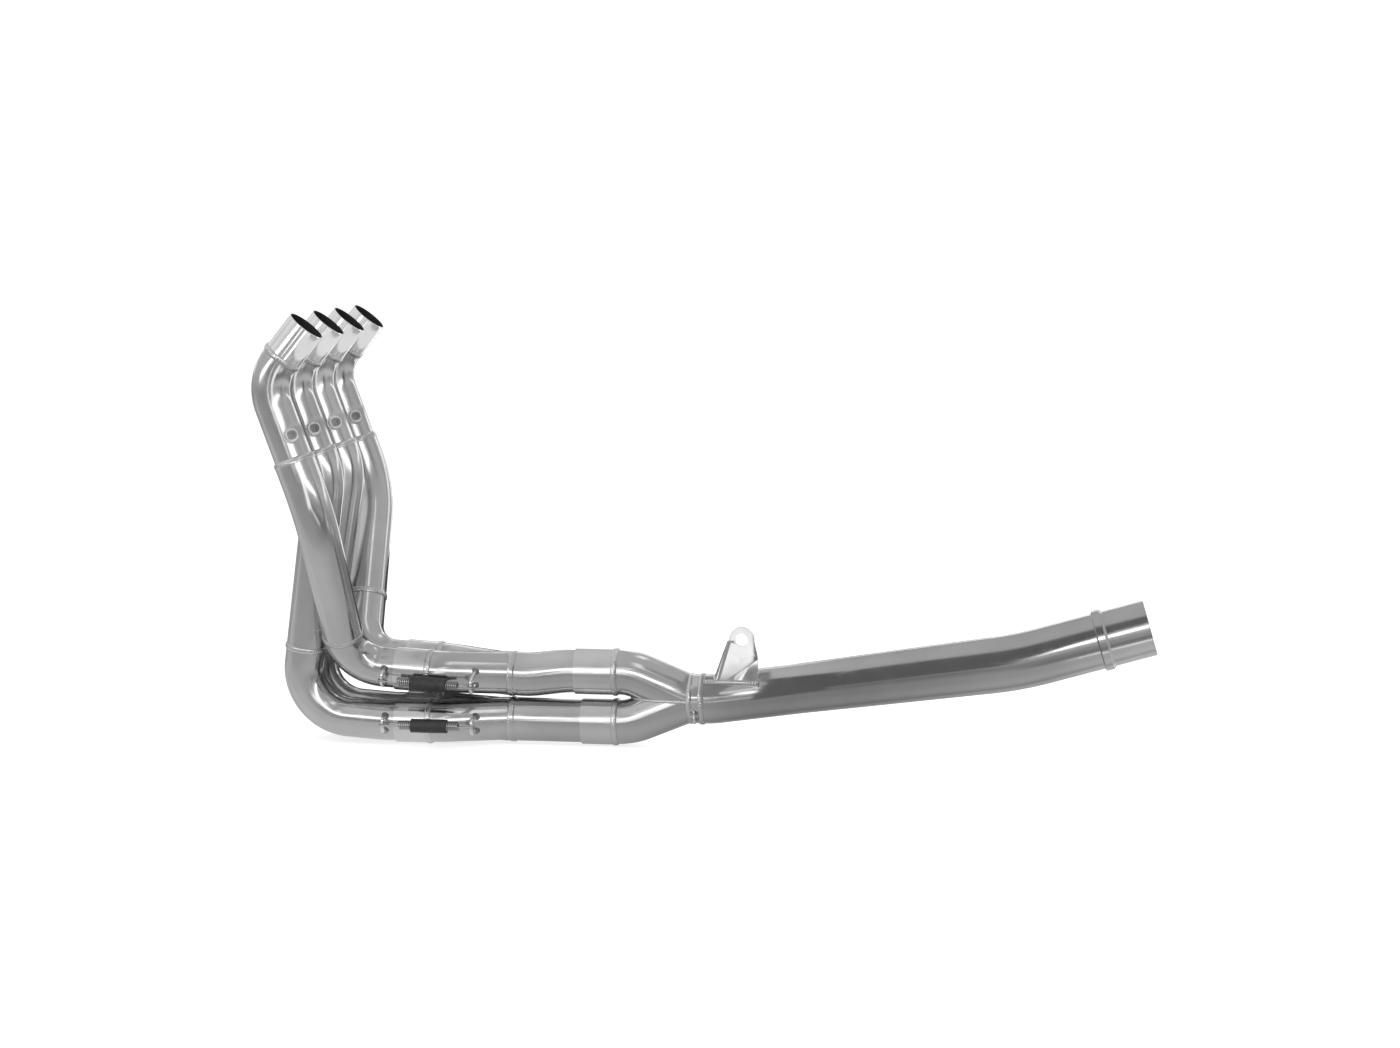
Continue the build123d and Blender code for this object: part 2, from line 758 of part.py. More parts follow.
upper_start = upper_deck.from_local_coords((deck_length, 0, 0))
upper_slip_start = final_upper - ahead * upper_slip_length
upper_turn, upper_level = upper_start, upper_slip_start
for _ in range(12):
    upper_turn = corner_after(upper_start, dip, band_length + secondary_lead, secondary_radius, upper_level)
    upper_level = corner_after(upper_slip_start, ahead * -1, secondary_lead, secondary_radius, upper_turn)
keep(
    secondary(
        upper_start,
        [upper_start, upper_turn, upper_level, final_upper - ahead * slip_stop],
        secondary_radius,
    ),
    "upper_secondary",
)
lower_start = lower_deck.from_local_coords((deck_length, 0, 0))
keep(straight_secondary(lower_start, final_lower - ahead * slip_stop), "lower_secondary")
keep(
    plain_sleeve(upper_slip_start, ahead, upper_slip_length, slip_bore, slip_od), "upper_slip_sleeve"
)
keep(
    plain_sleeve(final_lower - ahead * lower_slip_length, ahead, lower_slip_length, slip_bore, slip_od),
    "lower_slip_sleeve",
)
keep(
    merge_body(final_deck, final_spread, final_length, final_lead, final_radius, final_od, branch_wall),
    "final_collector",
)
keep(outlet_collar(), "outlet_collar")
keep(collar_hook(), "collar_hook")
keep(tail_pipe(), "tail_pipe")
keep(hanger_bracket(), "hanger_bracket")

print("pipe 1 knee", knees[1], "foot", feet[1])
print("pipe 2 knee", knees[2], "foot", feet[2])
print("tail tip", tail_tip, "outlet diameter", outlet_od)
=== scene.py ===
# %% [markdown]
# # A motorcycle exhaust header, dressed in Blender
#
# The part is a four-into-two-into-one exhaust header: four bent steel pipes leave the cylinder head, meet in pairs in
# two stacked collectors, and end in one tapered tail pipe. The tubes come from a CAD model that is loaded first and
# stays as it is. This file adds what that leaves out: rippled weld beads, wound springs, a pressed hanger, worn
# steel, and the light of a small studio. Everything is in metres.

# %% Load the tubes from the CAD model
import math

import bmesh
import bpy
import numpy as np
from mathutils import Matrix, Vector


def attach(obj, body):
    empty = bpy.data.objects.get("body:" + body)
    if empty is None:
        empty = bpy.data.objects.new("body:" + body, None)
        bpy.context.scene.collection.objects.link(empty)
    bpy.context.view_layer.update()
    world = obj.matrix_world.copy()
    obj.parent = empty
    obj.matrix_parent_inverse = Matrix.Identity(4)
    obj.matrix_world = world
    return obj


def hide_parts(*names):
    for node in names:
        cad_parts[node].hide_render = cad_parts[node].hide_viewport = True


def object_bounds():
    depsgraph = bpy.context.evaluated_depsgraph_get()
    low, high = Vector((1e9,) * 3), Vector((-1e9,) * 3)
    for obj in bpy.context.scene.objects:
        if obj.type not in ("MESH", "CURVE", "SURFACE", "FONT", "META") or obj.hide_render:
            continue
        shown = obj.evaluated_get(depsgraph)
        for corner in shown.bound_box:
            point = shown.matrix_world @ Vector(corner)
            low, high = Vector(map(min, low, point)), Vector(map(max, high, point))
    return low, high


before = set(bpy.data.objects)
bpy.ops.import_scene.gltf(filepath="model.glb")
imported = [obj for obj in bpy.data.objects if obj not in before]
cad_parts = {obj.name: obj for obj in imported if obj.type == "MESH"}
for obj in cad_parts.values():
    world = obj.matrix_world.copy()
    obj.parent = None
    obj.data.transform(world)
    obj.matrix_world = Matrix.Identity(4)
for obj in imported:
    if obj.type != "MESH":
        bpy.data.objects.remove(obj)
cad_low, cad_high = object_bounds()
MM = 0.001
print("CAD nodes:", len(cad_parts), "box in mm:", [round((b - a) / MM, 1) for a, b in zip(cad_low, cad_high)])

# %% [markdown]
# ## The camera
#
# A product photograph of something this long is taken from a few metres away, so the pipes hardly shrink with
# distance. The eye stands a little to the right of the middle and a little above it. A long lens on a full-frame
# sensor gives the same picture as standing further back and cropping.

# %% Camera
def placed(name, data):
    """New object in the scene."""
    made = bpy.data.objects.new(name, data)
    bpy.context.scene.collection.objects.link(made)
    return made


look_at = Vector((0.3745, 0.0, -0.205))
eye_turn, eye_lift, eye_distance = math.radians(7.4), math.radians(6.9), 2.6
sensor_mm, lens_mm = 36.0, 65.52
eye_direction = Vector((
    math.sin(eye_turn) * math.cos(eye_lift),
    -math.cos(eye_turn) * math.cos(eye_lift),
    math.sin(eye_lift),
))
camera = placed("product_camera", bpy.data.cameras.new("product_camera"))
camera.data.sensor_width = sensor_mm
camera.data.lens = lens_mm
camera.location = look_at + eye_direction * eye_distance
camera.rotation_mode = "QUATERNION"
camera.rotation_quaternion = (-eye_direction).to_track_quat("-Z", "Y")
bpy.context.scene.camera = camera
bpy.context.scene.view_settings.view_transform = "Standard"
print("camera at", [round(v, 3) for v in camera.location])

# %% [markdown]
# ## Shader nodes in short lines
#
# Every finish below is a small network of nodes: a texture that varies in space, something that turns it into a
# range of numbers, and the Principled shader. A few helpers keep that short: one adds a node with its settings, one
# starts a finish with its shader and its coordinates, and the rest are steps that come back in every finish. The
# coordinates are the object's own, in metres, so a pattern keeps its real size on every piece.

# %% Node helpers
def node(finish, kind, settings=None, **inputs):
    """Adds a shader node; its inputs are given by name, or by number as i0, i1 and so on."""
    made = finish.node_tree.nodes.new("ShaderNode" + kind)
    for key, value in (settings or {}).items():
        setattr(made, key, value)
    for key, value in inputs.items():
        numbered = key[0] == "i" and key[1:].isdigit()
        socket = made.inputs[int(key[1:]) if numbered else key.replace("_", " ")]
        if isinstance(value, bpy.types.NodeSocket):
            finish.node_tree.links.new(value, socket)
        else:
            socket.default_value = value
    return made


def calc(finish, operation, *values):
    """Result of a Math node."""
    inputs = {f"i{number}": value for number, value in enumerate(values)}
    return node(finish, "Math", {"operation": operation}, **inputs).outputs[0]


def start_finish(name, metallic, grey):
    """New material with a Principled shader and object coordinates."""
    finish = bpy.data.materials.new(name)
    finish.use_nodes = True
    shader = finish.node_tree.nodes["Principled BSDF"]
    shader.inputs["Metallic"].default_value = metallic
    finish.diffuse_color = (grey, grey, grey, 1)
    place = node(finish, "TexCoord").outputs["Object"]
    return finish, shader, place


def noise(finish, place, scale, **settings):
    """Value of a noise texture."""
    return node(finish, "TexNoise", None, Vector=place, Scale=scale, **settings).outputs["Fac"]


def between(finish, value, low, high, start=0.3, stop=0.7):
    """Turns a texture's value into a range of numbers."""
    ranged = node(finish, "MapRange", None, Value=value, From_Min=start, From_Max=stop, To_Min=low, To_Max=high)
    return ranged.outputs["Result"]


def grey_of(finish, value):
    """Grey colour of a value."""
    return node(finish, "CombineColor", None, Red=value, Green=value, Blue=value).outputs["Color"]


def feed(finish, shader, **sockets):
    """Links results to the shader's inputs."""
    for key, socket in sockets.items():
        finish.node_tree.links.new(socket, shader.inputs[key.replace("_", " ")])


print("node helpers ready")

# %% [markdown]
# ## Steel finishes
#
# The tubes are stainless steel that was drawn, bent and rubbed down, so they are satin rather than mirror bright.
# The brightness wanders a little over a hand's width, and the roughness changes at the scale of a thumb print, which
# breaks up the reflections. A fine bump adds the grain that a polishing belt leaves. A single flat grey would look
# like plastic, so all three vary, and each family of pieces gets its own mix. The dark ones are for the blackened
# plug screws and for the tacks under the hooks, which the torch has burnt.

# %% Steel
cloud_scale, smudge_scale, grain_distance = 11.0, 70.0, 0.0002


def steel(name, grey_low, grey_high, rough_low, rough_high, grain=1500.0, grain_depth=0.02):
    """Satin or polished stainless steel."""
    finish, shader, place = start_finish(name, 1.0, (grey_low + grey_high) / 2)
    cloud = noise(finish, place, cloud_scale, Detail=3.0, Roughness=0.55)
    smudge = noise(finish, place, smudge_scale, Detail=5.0, Roughness=0.6)
    belt = noise(finish, place, grain, Detail=2.0)
    bump = node(finish, "Bump", None, Strength=grain_depth, Distance=grain_distance, Height=belt)
    feed(
        finish,
        shader,
        Base_Color=grey_of(finish, between(finish, cloud, grey_low, grey_high)),
        Roughness=between(finish, smudge, rough_low, rough_high),
        Normal=bump.outputs["Normal"],
    )
    return finish


satin_tube = steel("satin_tube", 0.50, 0.60, 0.13, 0.22)
sleeve_steel = steel("sleeve_steel", 0.60, 0.70, 0.14, 0.24)
polished_steel = steel("polished_steel", 0.74, 0.84, 0.07, 0.14)
weld_steel = steel("weld_steel", 0.52, 0.70, 0.18, 0.32, grain=900.0, grain_depth=0.05)
hook_steel = steel("hook_steel", 0.70, 0.82, 0.08, 0.16)
coil_steel = steel("coil_steel", 0.34, 0.50, 0.10, 0.20)
black_steel = steel("black_steel", 0.16, 0.30, 0.16, 0.28)
burnt_steel = steel("burnt_steel", 0.16, 0.42, 0.14, 0.30)
steels = (satin_tube, sleeve_steel, polished_steel, weld_steel, hook_steel, coil_steel, black_steel, burnt_steel)
print("steel finishes:", [finish.name for finish in steels])

# %% [markdown]
# ## Painted shade and soot in the open ends
#
# An open pipe looks black inside, because light has to bounce many times to come back out, and because a run-in
# pipe is lined with soot. Here that darkness is painted into the colour: the bore is painted near-black, as painted
# shade together with soot. The stubs and the tail pipe are closed shells, so the finish itself has to know inside from
# outside: a point nearer to the pipe's axis than the middle of the wall is inside. For the row of stubs, the sideways
# coordinate is folded with the pitch of the ports, so one finish serves all four.

# %% Steel with a bore painted dark with shade and soot
# Painted shade and soot: the near-black colour and dull roughness that the bores take.
shade_and_soot_colour, soot_roughness = (0.012, 0.012, 0.012, 1), 0.75


def shaded_sooty_bore(finish, axis_point, axis, wall_middle, pitch=None, shade_and_soot_from=None):
    """Paints shade and soot into a steel finish: near-black where it lies inside a pipe's wall."""
    shader = finish.node_tree.nodes["Principled BSDF"]
    place = node(finish, "TexCoord").outputs["Object"]
    if pitch:
        parts = node(finish, "SeparateXYZ", None, Vector=place).outputs
        centred = calc(finish, "SUBTRACT", calc(finish, "WRAP", parts["Y"], pitch, 0.0), pitch / 2)
        place = node(finish, "CombineXYZ", None, X=parts["X"], Y=centred, Z=parts["Z"]).outputs[0]
    offset = node(finish, "VectorMath", {"operation": "SUBTRACT"}, i0=place, i1=tuple(axis_point)).outputs["Vector"]
    across = node(finish, "VectorMath", {"operation": "CROSS_PRODUCT"}, i0=offset, i1=tuple(axis)).outputs["Vector"]
    reach = node(finish, "VectorMath", {"operation": "LENGTH"}, i0=across).outputs["Value"]
    inside = calc(finish, "LESS_THAN", reach, wall_middle)
    if shade_and_soot_from is not None:
        along = node(finish, "VectorMath", {"operation": "DOT_PRODUCT"}, i0=offset, i1=tuple(axis)).outputs["Value"]
        inside = calc(finish, "MULTIPLY", inside, calc(finish, "GREATER_THAN", along, shade_and_soot_from))
    clean_colour, clean_rough = (shader.inputs[key].links[0].from_socket for key in ("Base Color", "Roughness"))
    colour = node(finish, "Mix", {"data_type": "RGBA"}, i0=inside, i6=clean_colour, i7=shade_and_soot_colour).outputs[2]
    rough = node(finish, "Mix", {"data_type": "FLOAT"}, i0=inside, i2=clean_rough, i3=soot_roughness).outputs[0]
    feed(finish, shader, Base_Color=colour, Roughness=rough, Metallic=calc(finish, "SUBTRACT", 1.0, inside))


port_lean = math.radians(51.0)
mouth = Vector((math.cos(port_lean), 0, math.sin(port_lean)))
port_pitch = 0.080
port_rows = {1: -0.120, 2: -0.040, 3: 0.040, 4: 0.120}
stub_wall_middle = 0.0186
stub_finish = steel("turned_stub", 0.84, 0.92, 0.08, 0.16)
shaded_sooty_bore(stub_finish, (0, 0, 0), mouth, stub_wall_middle, pitch=port_pitch)

tail_heading = Vector((0.959805, 0, 0.280667))
tail_tip = Vector((0.829497, 0, -0.302489))
tail_wall_middle, shade_and_soot_reach = 0.0278, 0.095
tail_finish = steel("tail_steel", 0.48, 0.58, 0.13, 0.21)
shaded_sooty_bore(tail_finish, tail_tip, tail_heading, tail_wall_middle, shade_and_soot_from=-shade_and_soot_reach)
print("sooty bores: stubs folded every", port_pitch / MM, "mm, tail pipe", shade_and_soot_reach / MM, "mm deep from its tip")

# %% [markdown]
# ## Rubber
#
# Each spring wears a rubber sleeve that stops it from singing. Old rubber is almost black, dull, and dusted paler
# where it has been handled. A dark base, a high roughness that wanders, and a fine pebbled bump give that.

# %% Rubber
rubber_finish, rubber_shader, rubber_place = start_finish("black_rubber", 0.0, 0.03)
dust = noise(rubber_finish, rubber_place, 160.0, Detail=6.0)
pebble = noise(rubber_finish, rubber_place, 2200.0, Detail=2.0)
rubber_bump = node(rubber_finish, "Bump", None, Strength=0.25, Distance=grain_distance, Height=pebble)
feed(
    rubber_finish,
    rubber_shader,
    Base_Color=grey_of(rubber_finish, between(rubber_finish, dust, 0.012, 0.040)),
    Roughness=between(rubber_finish, dust, 0.38, 0.60),
    Normal=rubber_bump.outputs["Normal"],
)
print("rubber finish ready")

# %% [markdown]
# ## Giving the CAD tubes their finish
#
# A CAD piece whose shape is right only needs a finish. Most are tubes, which are satin. The others take a finish by
# how their name starts: slip sleeves a shade brighter because they were turned, stubs and hanger polished, plug
# screws blackened.

# %% Finishes of the CAD pieces
finish_by_start = {
    "port_stub": stub_finish,
    "sampling_boss": sleeve_steel,
    "sampling_plugs": black_steel,
    "inlet_sleeve": sleeve_steel,
    "pipe_hook": hook_steel,
    "collector_hook": hook_steel,
    "collar_hook": hook_steel,
    "spring_sleeve": rubber_finish,
    "spring_": coil_steel,
    "upper_slip_sleeve": sleeve_steel,
    "lower_slip_sleeve": sleeve_steel,
    "outlet_collar": sleeve_steel,
    "tail_pipe": tail_finish,
    "hanger_bracket": polished_steel,
}
for name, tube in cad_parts.items():
    start = max((s for s in finish_by_start if name.startswith(s)), key=len, default=None)
    tube.data.materials.clear()
    tube.data.materials.append(finish_by_start.get(start, satin_tube))
print("finished", len(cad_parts), "CAD pieces")

# %% [markdown]
# ## A skin from a grid of points
#
# Weld beads, springs and sleeves are all a section carried along a line. The easiest mesh for that is a grid: one
# row of points per step along the line, one column per point of the section, and a quad between neighbours. The
# helper wraps or caps the grid and lets the new piece ride on the part's one body.

# %% Grid skin
def skin(name, grid, finish, close_rows=False):
    """Mesh piece from rows of section points; sections are closed loops."""
    grid = np.asarray(grid, dtype=float)
    rows, columns, _ = grid.shape
    index = np.arange(rows * columns).reshape(rows, columns)
    below = np.roll(index, -1, axis=0) if close_rows else index[1:]
    above = index if close_rows else index[:-1]
    quads = np.stack([above, np.roll(above, -1, axis=1), np.roll(below, -1, axis=1), below], axis=-1)
    faces = quads.reshape(-1, 4).tolist()
    if not close_rows:
        faces += [index[0][::-1].tolist(), index[-1].tolist()]
    mesh = bpy.data.meshes.new(name)
    mesh.from_pydata(grid.reshape(-1, 3).tolist(), [], faces)
    mesh.validate()
    mesh.shade_smooth()
    mesh.materials.append(finish)
    piece = placed(name, mesh)
    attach(piece, "root")
    return piece


def across_axis(along):
    """An axis, and two directions square to it."""
    along = Vector(along).normalized()
    side = along.orthogonal().normalized()
    return np.array(along), np.array(side), np.array(along.cross(side))


print("grid skin ready")

# %% [markdown]
# ## Weld beads round the tubes
#
# Where two tubes are butted, the welder lays a bead that looks like a row of toppled coins: every dab of filler
# freezes as a small crescent over the one before. A bead breaks the outline of the tube, where a bump map would look
# flat, so the ripples are real. The section is a low arch, and its height and width follow a saw-tooth wave whose
# phase lags towards the edges, which bends each ripple into a crescent. The pitch wavers a little, as a hand does.

# %% Weld bead rings
steps_per_dab, points_across = 7, 11
crescent_lag, hand_waver = 0.55, 0.35
valley, ripple, toe_sink, root_depth = 0.80, 0.26, 0.25, 0.5


def dab_height(phase):
    """Saw-tooth wave of the dabs of a bead."""
    return (1 - np.mod(phase, 1.0)) ** 0.7


def weld_ring(name, centre, along, radius_before, radius_after, width=6.2, height=1.1, pitch=2.3, seed=0):
    """Rippled bead round a joint of two tubes; sizes in millimetres."""
    axis, side, other = across_axis(along)
    count = int(round(2 * math.pi * radius_after / pitch))
    steps = count * steps_per_dab
    turn = np.linspace(0, 2 * math.pi, steps, endpoint=False)[:, None]
    hand = np.random.default_rng(seed).uniform(-1, 1, 6)
    waver = sum(shake * np.sin((k + 2) * turn + shake * 5) for k, shake in enumerate(hand)) / len(hand)
    across = np.linspace(-1, 1, points_across)[None, :]
    dab = dab_height(count * turn / (2 * math.pi) + hand_waver * waver - crescent_lag * across**2)
    arch = np.sqrt(np.clip(1 - across**2, 0, 1))
    lift = height * arch * (valley + ripple * dab) * (1 + 0.08 * waver) - toe_sink * (1 - arch)
    spread = width / 2 * (1 + 0.05 * dab * np.abs(across) + 0.05 * waver)
    base = radius_before + (radius_after - radius_before) * ((across + 1) / 2)
    root_reach = np.full((steps, 1), min(radius_before, radius_after) - root_depth)
    place = np.concatenate([across * spread, np.zeros((steps, 1))], axis=1)
    reach = np.concatenate([base + lift, root_reach], axis=1)
    outward = np.cos(turn)[:, :, None] * side + np.sin(turn)[:, :, None] * other
    grid = np.array(centre) + MM * (place[..., None] * axis + reach[..., None] * outward)
    return skin(name, grid, weld_steel, close_rows=True)


stub_r, primary_r, down_r, inlet_r, branch_r = 19.5, 19.05, 20.65, 22.25, 21.5
leg_lean, deck_dip = math.radians(20), math.radians(3.5)
leg = Vector((math.sin(leg_lean), 0, -math.cos(leg_lean)))
dip = Vector((math.cos(deck_dip), 0, -math.sin(deck_dip)))
rearward = Vector((1, 0, 0))
lower_joint = {
    1: ((0.01003, -0.04349, -0.31885), (0.0369, 0.50135, -0.86446)),
    2: ((-0.03284, -0.02791, -0.33570), (-0.14676, 0.06695, -0.9869)),
    3: ((-0.03284, 0.02791, -0.33570), (-0.14676, -0.06695, -0.9869)),
    4: ((0.00900, 0.05752, -0.29464), (0.0369, -0.50135, -0.86446)),
}
pipe_inlet = {
    1: (Vector((0.062, -0.02315, -0.357)), dip),
    2: (Vector((0.062, -0.02315, -0.41198)), rearward),
    3: (Vector((0.062, 0.02315, -0.41198)), rearward),
    4: (Vector((0.062, 0.02315, -0.357)), dip),
}
rim_lap, sleeve_bead_at = 0.0009, 0.0352
beads = []
for n, y in port_rows.items():
    stub_end = Vector((-0.02517, y, -0.03109))
    rim = Vector((-0.01477, y, -0.13423)) - leg * rim_lap
    joint, run = lower_joint[n]
    inlet, deck = pipe_inlet[n]
    beads.append(weld_ring(f"stub_weld_{n}", stub_end, -mouth, stub_r, primary_r, width=6.6, seed=n))
    beads.append(weld_ring(f"rim_weld_{n}", rim, leg, primary_r, down_r, width=6.0, height=0.95, seed=10 + n))
    beads.append(weld_ring(f"lower_weld_{n}", joint, run, down_r, down_r, seed=20 + n))
    beads.append(weld_ring(f"sleeve_weld_{n}", inlet + deck * sleeve_bead_at, deck, inlet_r, branch_r, seed=30 + n))
print("weld rings on the pipes:", len(beads))

# %% [markdown]
# ## Weld beads round the collectors
#
# The same beads go round the bands of the merges, the slip sleeves of the last collector and both ends of its
# collar. Where a bead fills the step up to a larger tube, it starts a little before the step.

# %% Weld bead rings on the collectors
band_r, slip_r, final_r, collar_r, tail_r = 23.1, 24.1, 23.35, 26.2, 25.5
band_lap, collar_lap = 0.0008, 0.0012
upper_mouth, lower_mouth = Vector((0.17778, 0, -0.36408)), Vector((0.178, 0, -0.41198))
final_upper, final_lower = Vector((0.28778, 0, -0.35998)), Vector((0.28778, 0, -0.41198))
collar_front, collar_back = Vector((0.36578, 0, -0.38598)), Vector((0.37778, 0, -0.38598))
band_bead, collar_bead = {"height": 0.8, "width": 4.6}, {"height": 0.9, "width": 5.4}
rings = (
    ("upper_band_weld", upper_mouth - dip * band_lap, dip, branch_r, band_r, band_bead),
    ("lower_band_weld", lower_mouth - rearward * band_lap, rearward, branch_r, band_r, band_bead),
    ("upper_slip_weld", final_upper, rearward, slip_r, final_r, {}),
    ("lower_slip_weld", final_lower, rearward, slip_r, final_r, {}),
    ("collar_front_weld", collar_front - rearward * collar_lap, rearward, final_r, collar_r, collar_bead),
    ("collar_back_weld", collar_back, rearward, tail_r, tail_r, {"height": 1.15}),
)
for seed, (*ring, bead_size) in enumerate(rings, start=41):
    beads.append(weld_ring(*ring, seed=seed, **bead_size))
print("weld rings in all:", len(beads), "with", sum(len(b.data.polygons) for b in beads), "faces")

# %% [markdown]
# ## Bars and beads along a line
#
# Not every weld runs round a tube. For the others, and for the springs, a round section is carried along a line of
# points. It stands square to the line and is turned as little as possible from one point to the next, so the skin
# doesn't twist. A seam is such a bar, half sunk in the metal, whose radius follows the same saw-tooth wave as before.

# %% Bars and beads along a line
def carried(points, radii, sides=10):
    """Rows of section points for a round bar along a line of points."""
    points = np.asarray(points, dtype=float)
    ways = np.gradient(points, axis=0)
    ways /= np.linalg.norm(ways, axis=1)[:, None]
    normal = np.array(Vector(ways[0]).orthogonal().normalized())
    angles = np.linspace(0, 2 * math.pi, sides, endpoint=False)
    rows = []
    for point, way, radius in zip(points, ways, np.broadcast_to(radii, len(points))):
        normal = normal - way * normal.dot(way)
        normal /= np.linalg.norm(normal)
        binormal = np.cross(way, normal)
        rows.append(point + radius * (np.cos(angles)[:, None] * normal + np.sin(angles)[:, None] * binormal))
    return np.array(rows)


def spaced(points, step):
    """The same line with points at an even step."""
    points = np.asarray(points, dtype=float)
    length = np.concatenate([[0], np.cumsum(np.linalg.norm(np.diff(points, axis=0), axis=1))])
    even = np.linspace(0, length[-1], max(2, int(length[-1] / step)))
    return np.stack([np.interp(even, length, points[:, k]) for k in range(3)], axis=1), even


def weld_seam(name, line, bead=1.7, pitch=2.2, seed=0):
    """Rippled bead along a line; sizes in millimetres, line in metres."""
    points, along = spaced(line, pitch * MM / 6)
    dab = dab_height(along / (pitch * MM))
    phase = np.random.default_rng(seed).uniform(-1, 1)
    radius = bead * MM * (0.86 + 0.22 * dab + 0.03 * np.sin(along * 90 + phase))
    return skin(name, carried(points, radius), weld_steel)


print("bars and seams ready")

# %% [markdown]
# ## Seams in the collectors
#
# In each collector two tubes are cut to meet in a crease, and the crease is welded all along. It lies in the plane
# midway between the two tubes, where the tube's surface crosses that plane. Each tube runs straight, bends, and runs
# on towards the outlet, so at every station the distance from the plane to the tube's axis is known, and Pythagoras
# gives how far sideways the crease lies.

# %% Crease seams
def bend_of_branch(spread, length, lead, radius):
    """Angle of a branch's bend, in radians; the branch aims at the outlet."""
    corner = lead
    for _ in range(40):
        angle = math.atan2(spread / 2, length - corner)
        corner = lead + radius * math.tan(angle / 2)
    return angle


def axis_distance(x, spread, length, lead, radius):
    """Distance of a branch's axis from the crease plane, square to the axis, in millimetres."""
    angle = bend_of_branch(spread, length, lead, radius)
    bend_middle = spread / 2 - radius
    if math.atan2(x - lead, -bend_middle) < angle:
        return radius - math.hypot(x - lead, bend_middle)
    return (length - x) * math.sin(angle)


def crease_line(origin, along, sideways, branch, tube_od):
    """U-shaped line of the crease between two branches, given by spread, length, lead and bend radius."""
    half = []
    for x in np.linspace(0, branch[1] - 1.5, 160):
        apart = axis_distance(x, *branch)
        if apart < tube_od / 2:
            half.append((x, math.sqrt((tube_od / 2) ** 2 - apart**2)))
    both = [(x, -w) for x, w in reversed(half)] + half
    return [np.array(origin) + MM * (x * np.array(along) + w * np.array(sideways)) for x, w in both]


merge_branch, final_branch = (46.3, 81.0, 1.0, 60.0), (52.0, 78.0, 1.0, 70.0)
sideways = Vector((0, 1, 0))
upper_start = Vector((0.062, 0, -0.357)) + dip * 0.035
lower_start = Vector((0.097, 0, -0.41198))
final_start = (final_upper + final_lower) / 2
upper_crease = crease_line(upper_start, dip, dip.cross(sideways), merge_branch, 2 * branch_r)
lower_crease = crease_line(lower_start, rearward, rearward.cross(sideways), merge_branch, 2 * branch_r)
final_crease = crease_line(final_start, rearward, sideways, final_branch, 2 * final_r)
seams = [
    weld_seam("upper_merge_seam", upper_crease, seed=1),
    weld_seam("lower_merge_seam", lower_crease, seed=2),
    weld_seam("final_seam", final_crease, seed=3),
]
print("crease seams:", [(s.name, [round(v / MM) for v in s.dimensions]) for s in seams])

# %% [markdown]
# ## Springs
#
# A slip joint is held together by extension springs: wire wound with its turns touching, and both ends bent into
# hooks that catch wire loops on the tubes. The line of the wire is built once along a spring's own axis: a hook, a
# straight, thirty-one turns, a straight and a hook. Then the round section of the wire is carried along it. This
# replaces the ridged bar that stands for the coil in the CAD model.

# %% Springs
spring_seat = {
    1: (Vector((0.06151, -0.05290, -0.36496)), dip, Vector((-0.0158, -0.96593, -0.25834))),
    2: (Vector((0.062, -0.05393, -0.41091)), rearward, Vector((0, -0.99939, 0.0349))),
    3: (Vector((0.062, 0.05393, -0.41091)), rearward, Vector((0, 0.99939, 0.0349))),
    4: (Vector((0.06151, 0.05290, -0.36496)), dip, Vector((-0.0158, 0.96593, -0.25834))),
}
front_loop, coil_start, coil_stop, rear_loop = -9.0, 8.0, 71.0, 84.0
coil_r, hook_r, hook_end, wire_r, turns = 4.0, 3.1, 4.0, 1.0, 31


def lead(start, stop, low, high, count):
    """Points of a soft step from one height to another, without its ends."""
    shares = np.linspace(0, 1, count)[1:-1]
    return [(start + (stop - start) * t, 0, low + (high - low) * t * t * (3 - 2 * t)) for t in shares]


def spring_line():
    """Wire line of a spring along X, with Z away from the tube, in millimetres."""
    half_turn = np.linspace(0, math.pi, 16)
    front = [(front_loop + hook_end - t, 0, -hook_r) for t in np.linspace(0, hook_end, 5)[:-1]]
    front += [(front_loop - hook_r * math.sin(a), 0, -hook_r * math.cos(a)) for a in half_turn]
    front += lead(front_loop, coil_start, hook_r, coil_r, 9)
    wound = []
    for a in np.linspace(0, 2 * math.pi * turns, turns * 18 + 1):
        x = coil_start + (coil_stop - coil_start) * a / (2 * math.pi * turns)
        wound.append((x, coil_r * math.sin(a), coil_r * math.cos(a)))
    back = lead(coil_stop, rear_loop, coil_r, hook_r, 8)
    back += [(rear_loop + hook_r * math.sin(a), 0, hook_r * math.cos(a)) for a in half_turn]
    back += [(rear_loop - t, 0, -hook_r) for t in np.linspace(0, hook_end, 5)[1:]]
    return np.array(front + wound + back)


def seated(points, seat):
    """Points of a spring's own frame, in millimetres, put in place."""
    origin, along, out = seat
    axes = np.array([along, out.cross(along), out])
    return np.array(origin) + MM * (np.asarray(points) @ axes)


for n, seat in spring_seat.items():
    rows = carried(seated(spring_line(), seat), wire_r * MM, sides=9)
    wire = skin(f"wound_spring_{n}", rows, coil_steel)
    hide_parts(f"spring_{n}")
print("springs wound, each of", len(spring_line()), "sections")

# %% [markdown]
# ## Rubber sleeves over the springs
#
# The sleeve is a length of moulded hose pushed over the coil. Its ends are rounded, its wall swells slightly where the
# coil is fattest, and the turns below press faint rings into it. It is a section turned round the spring's axis.

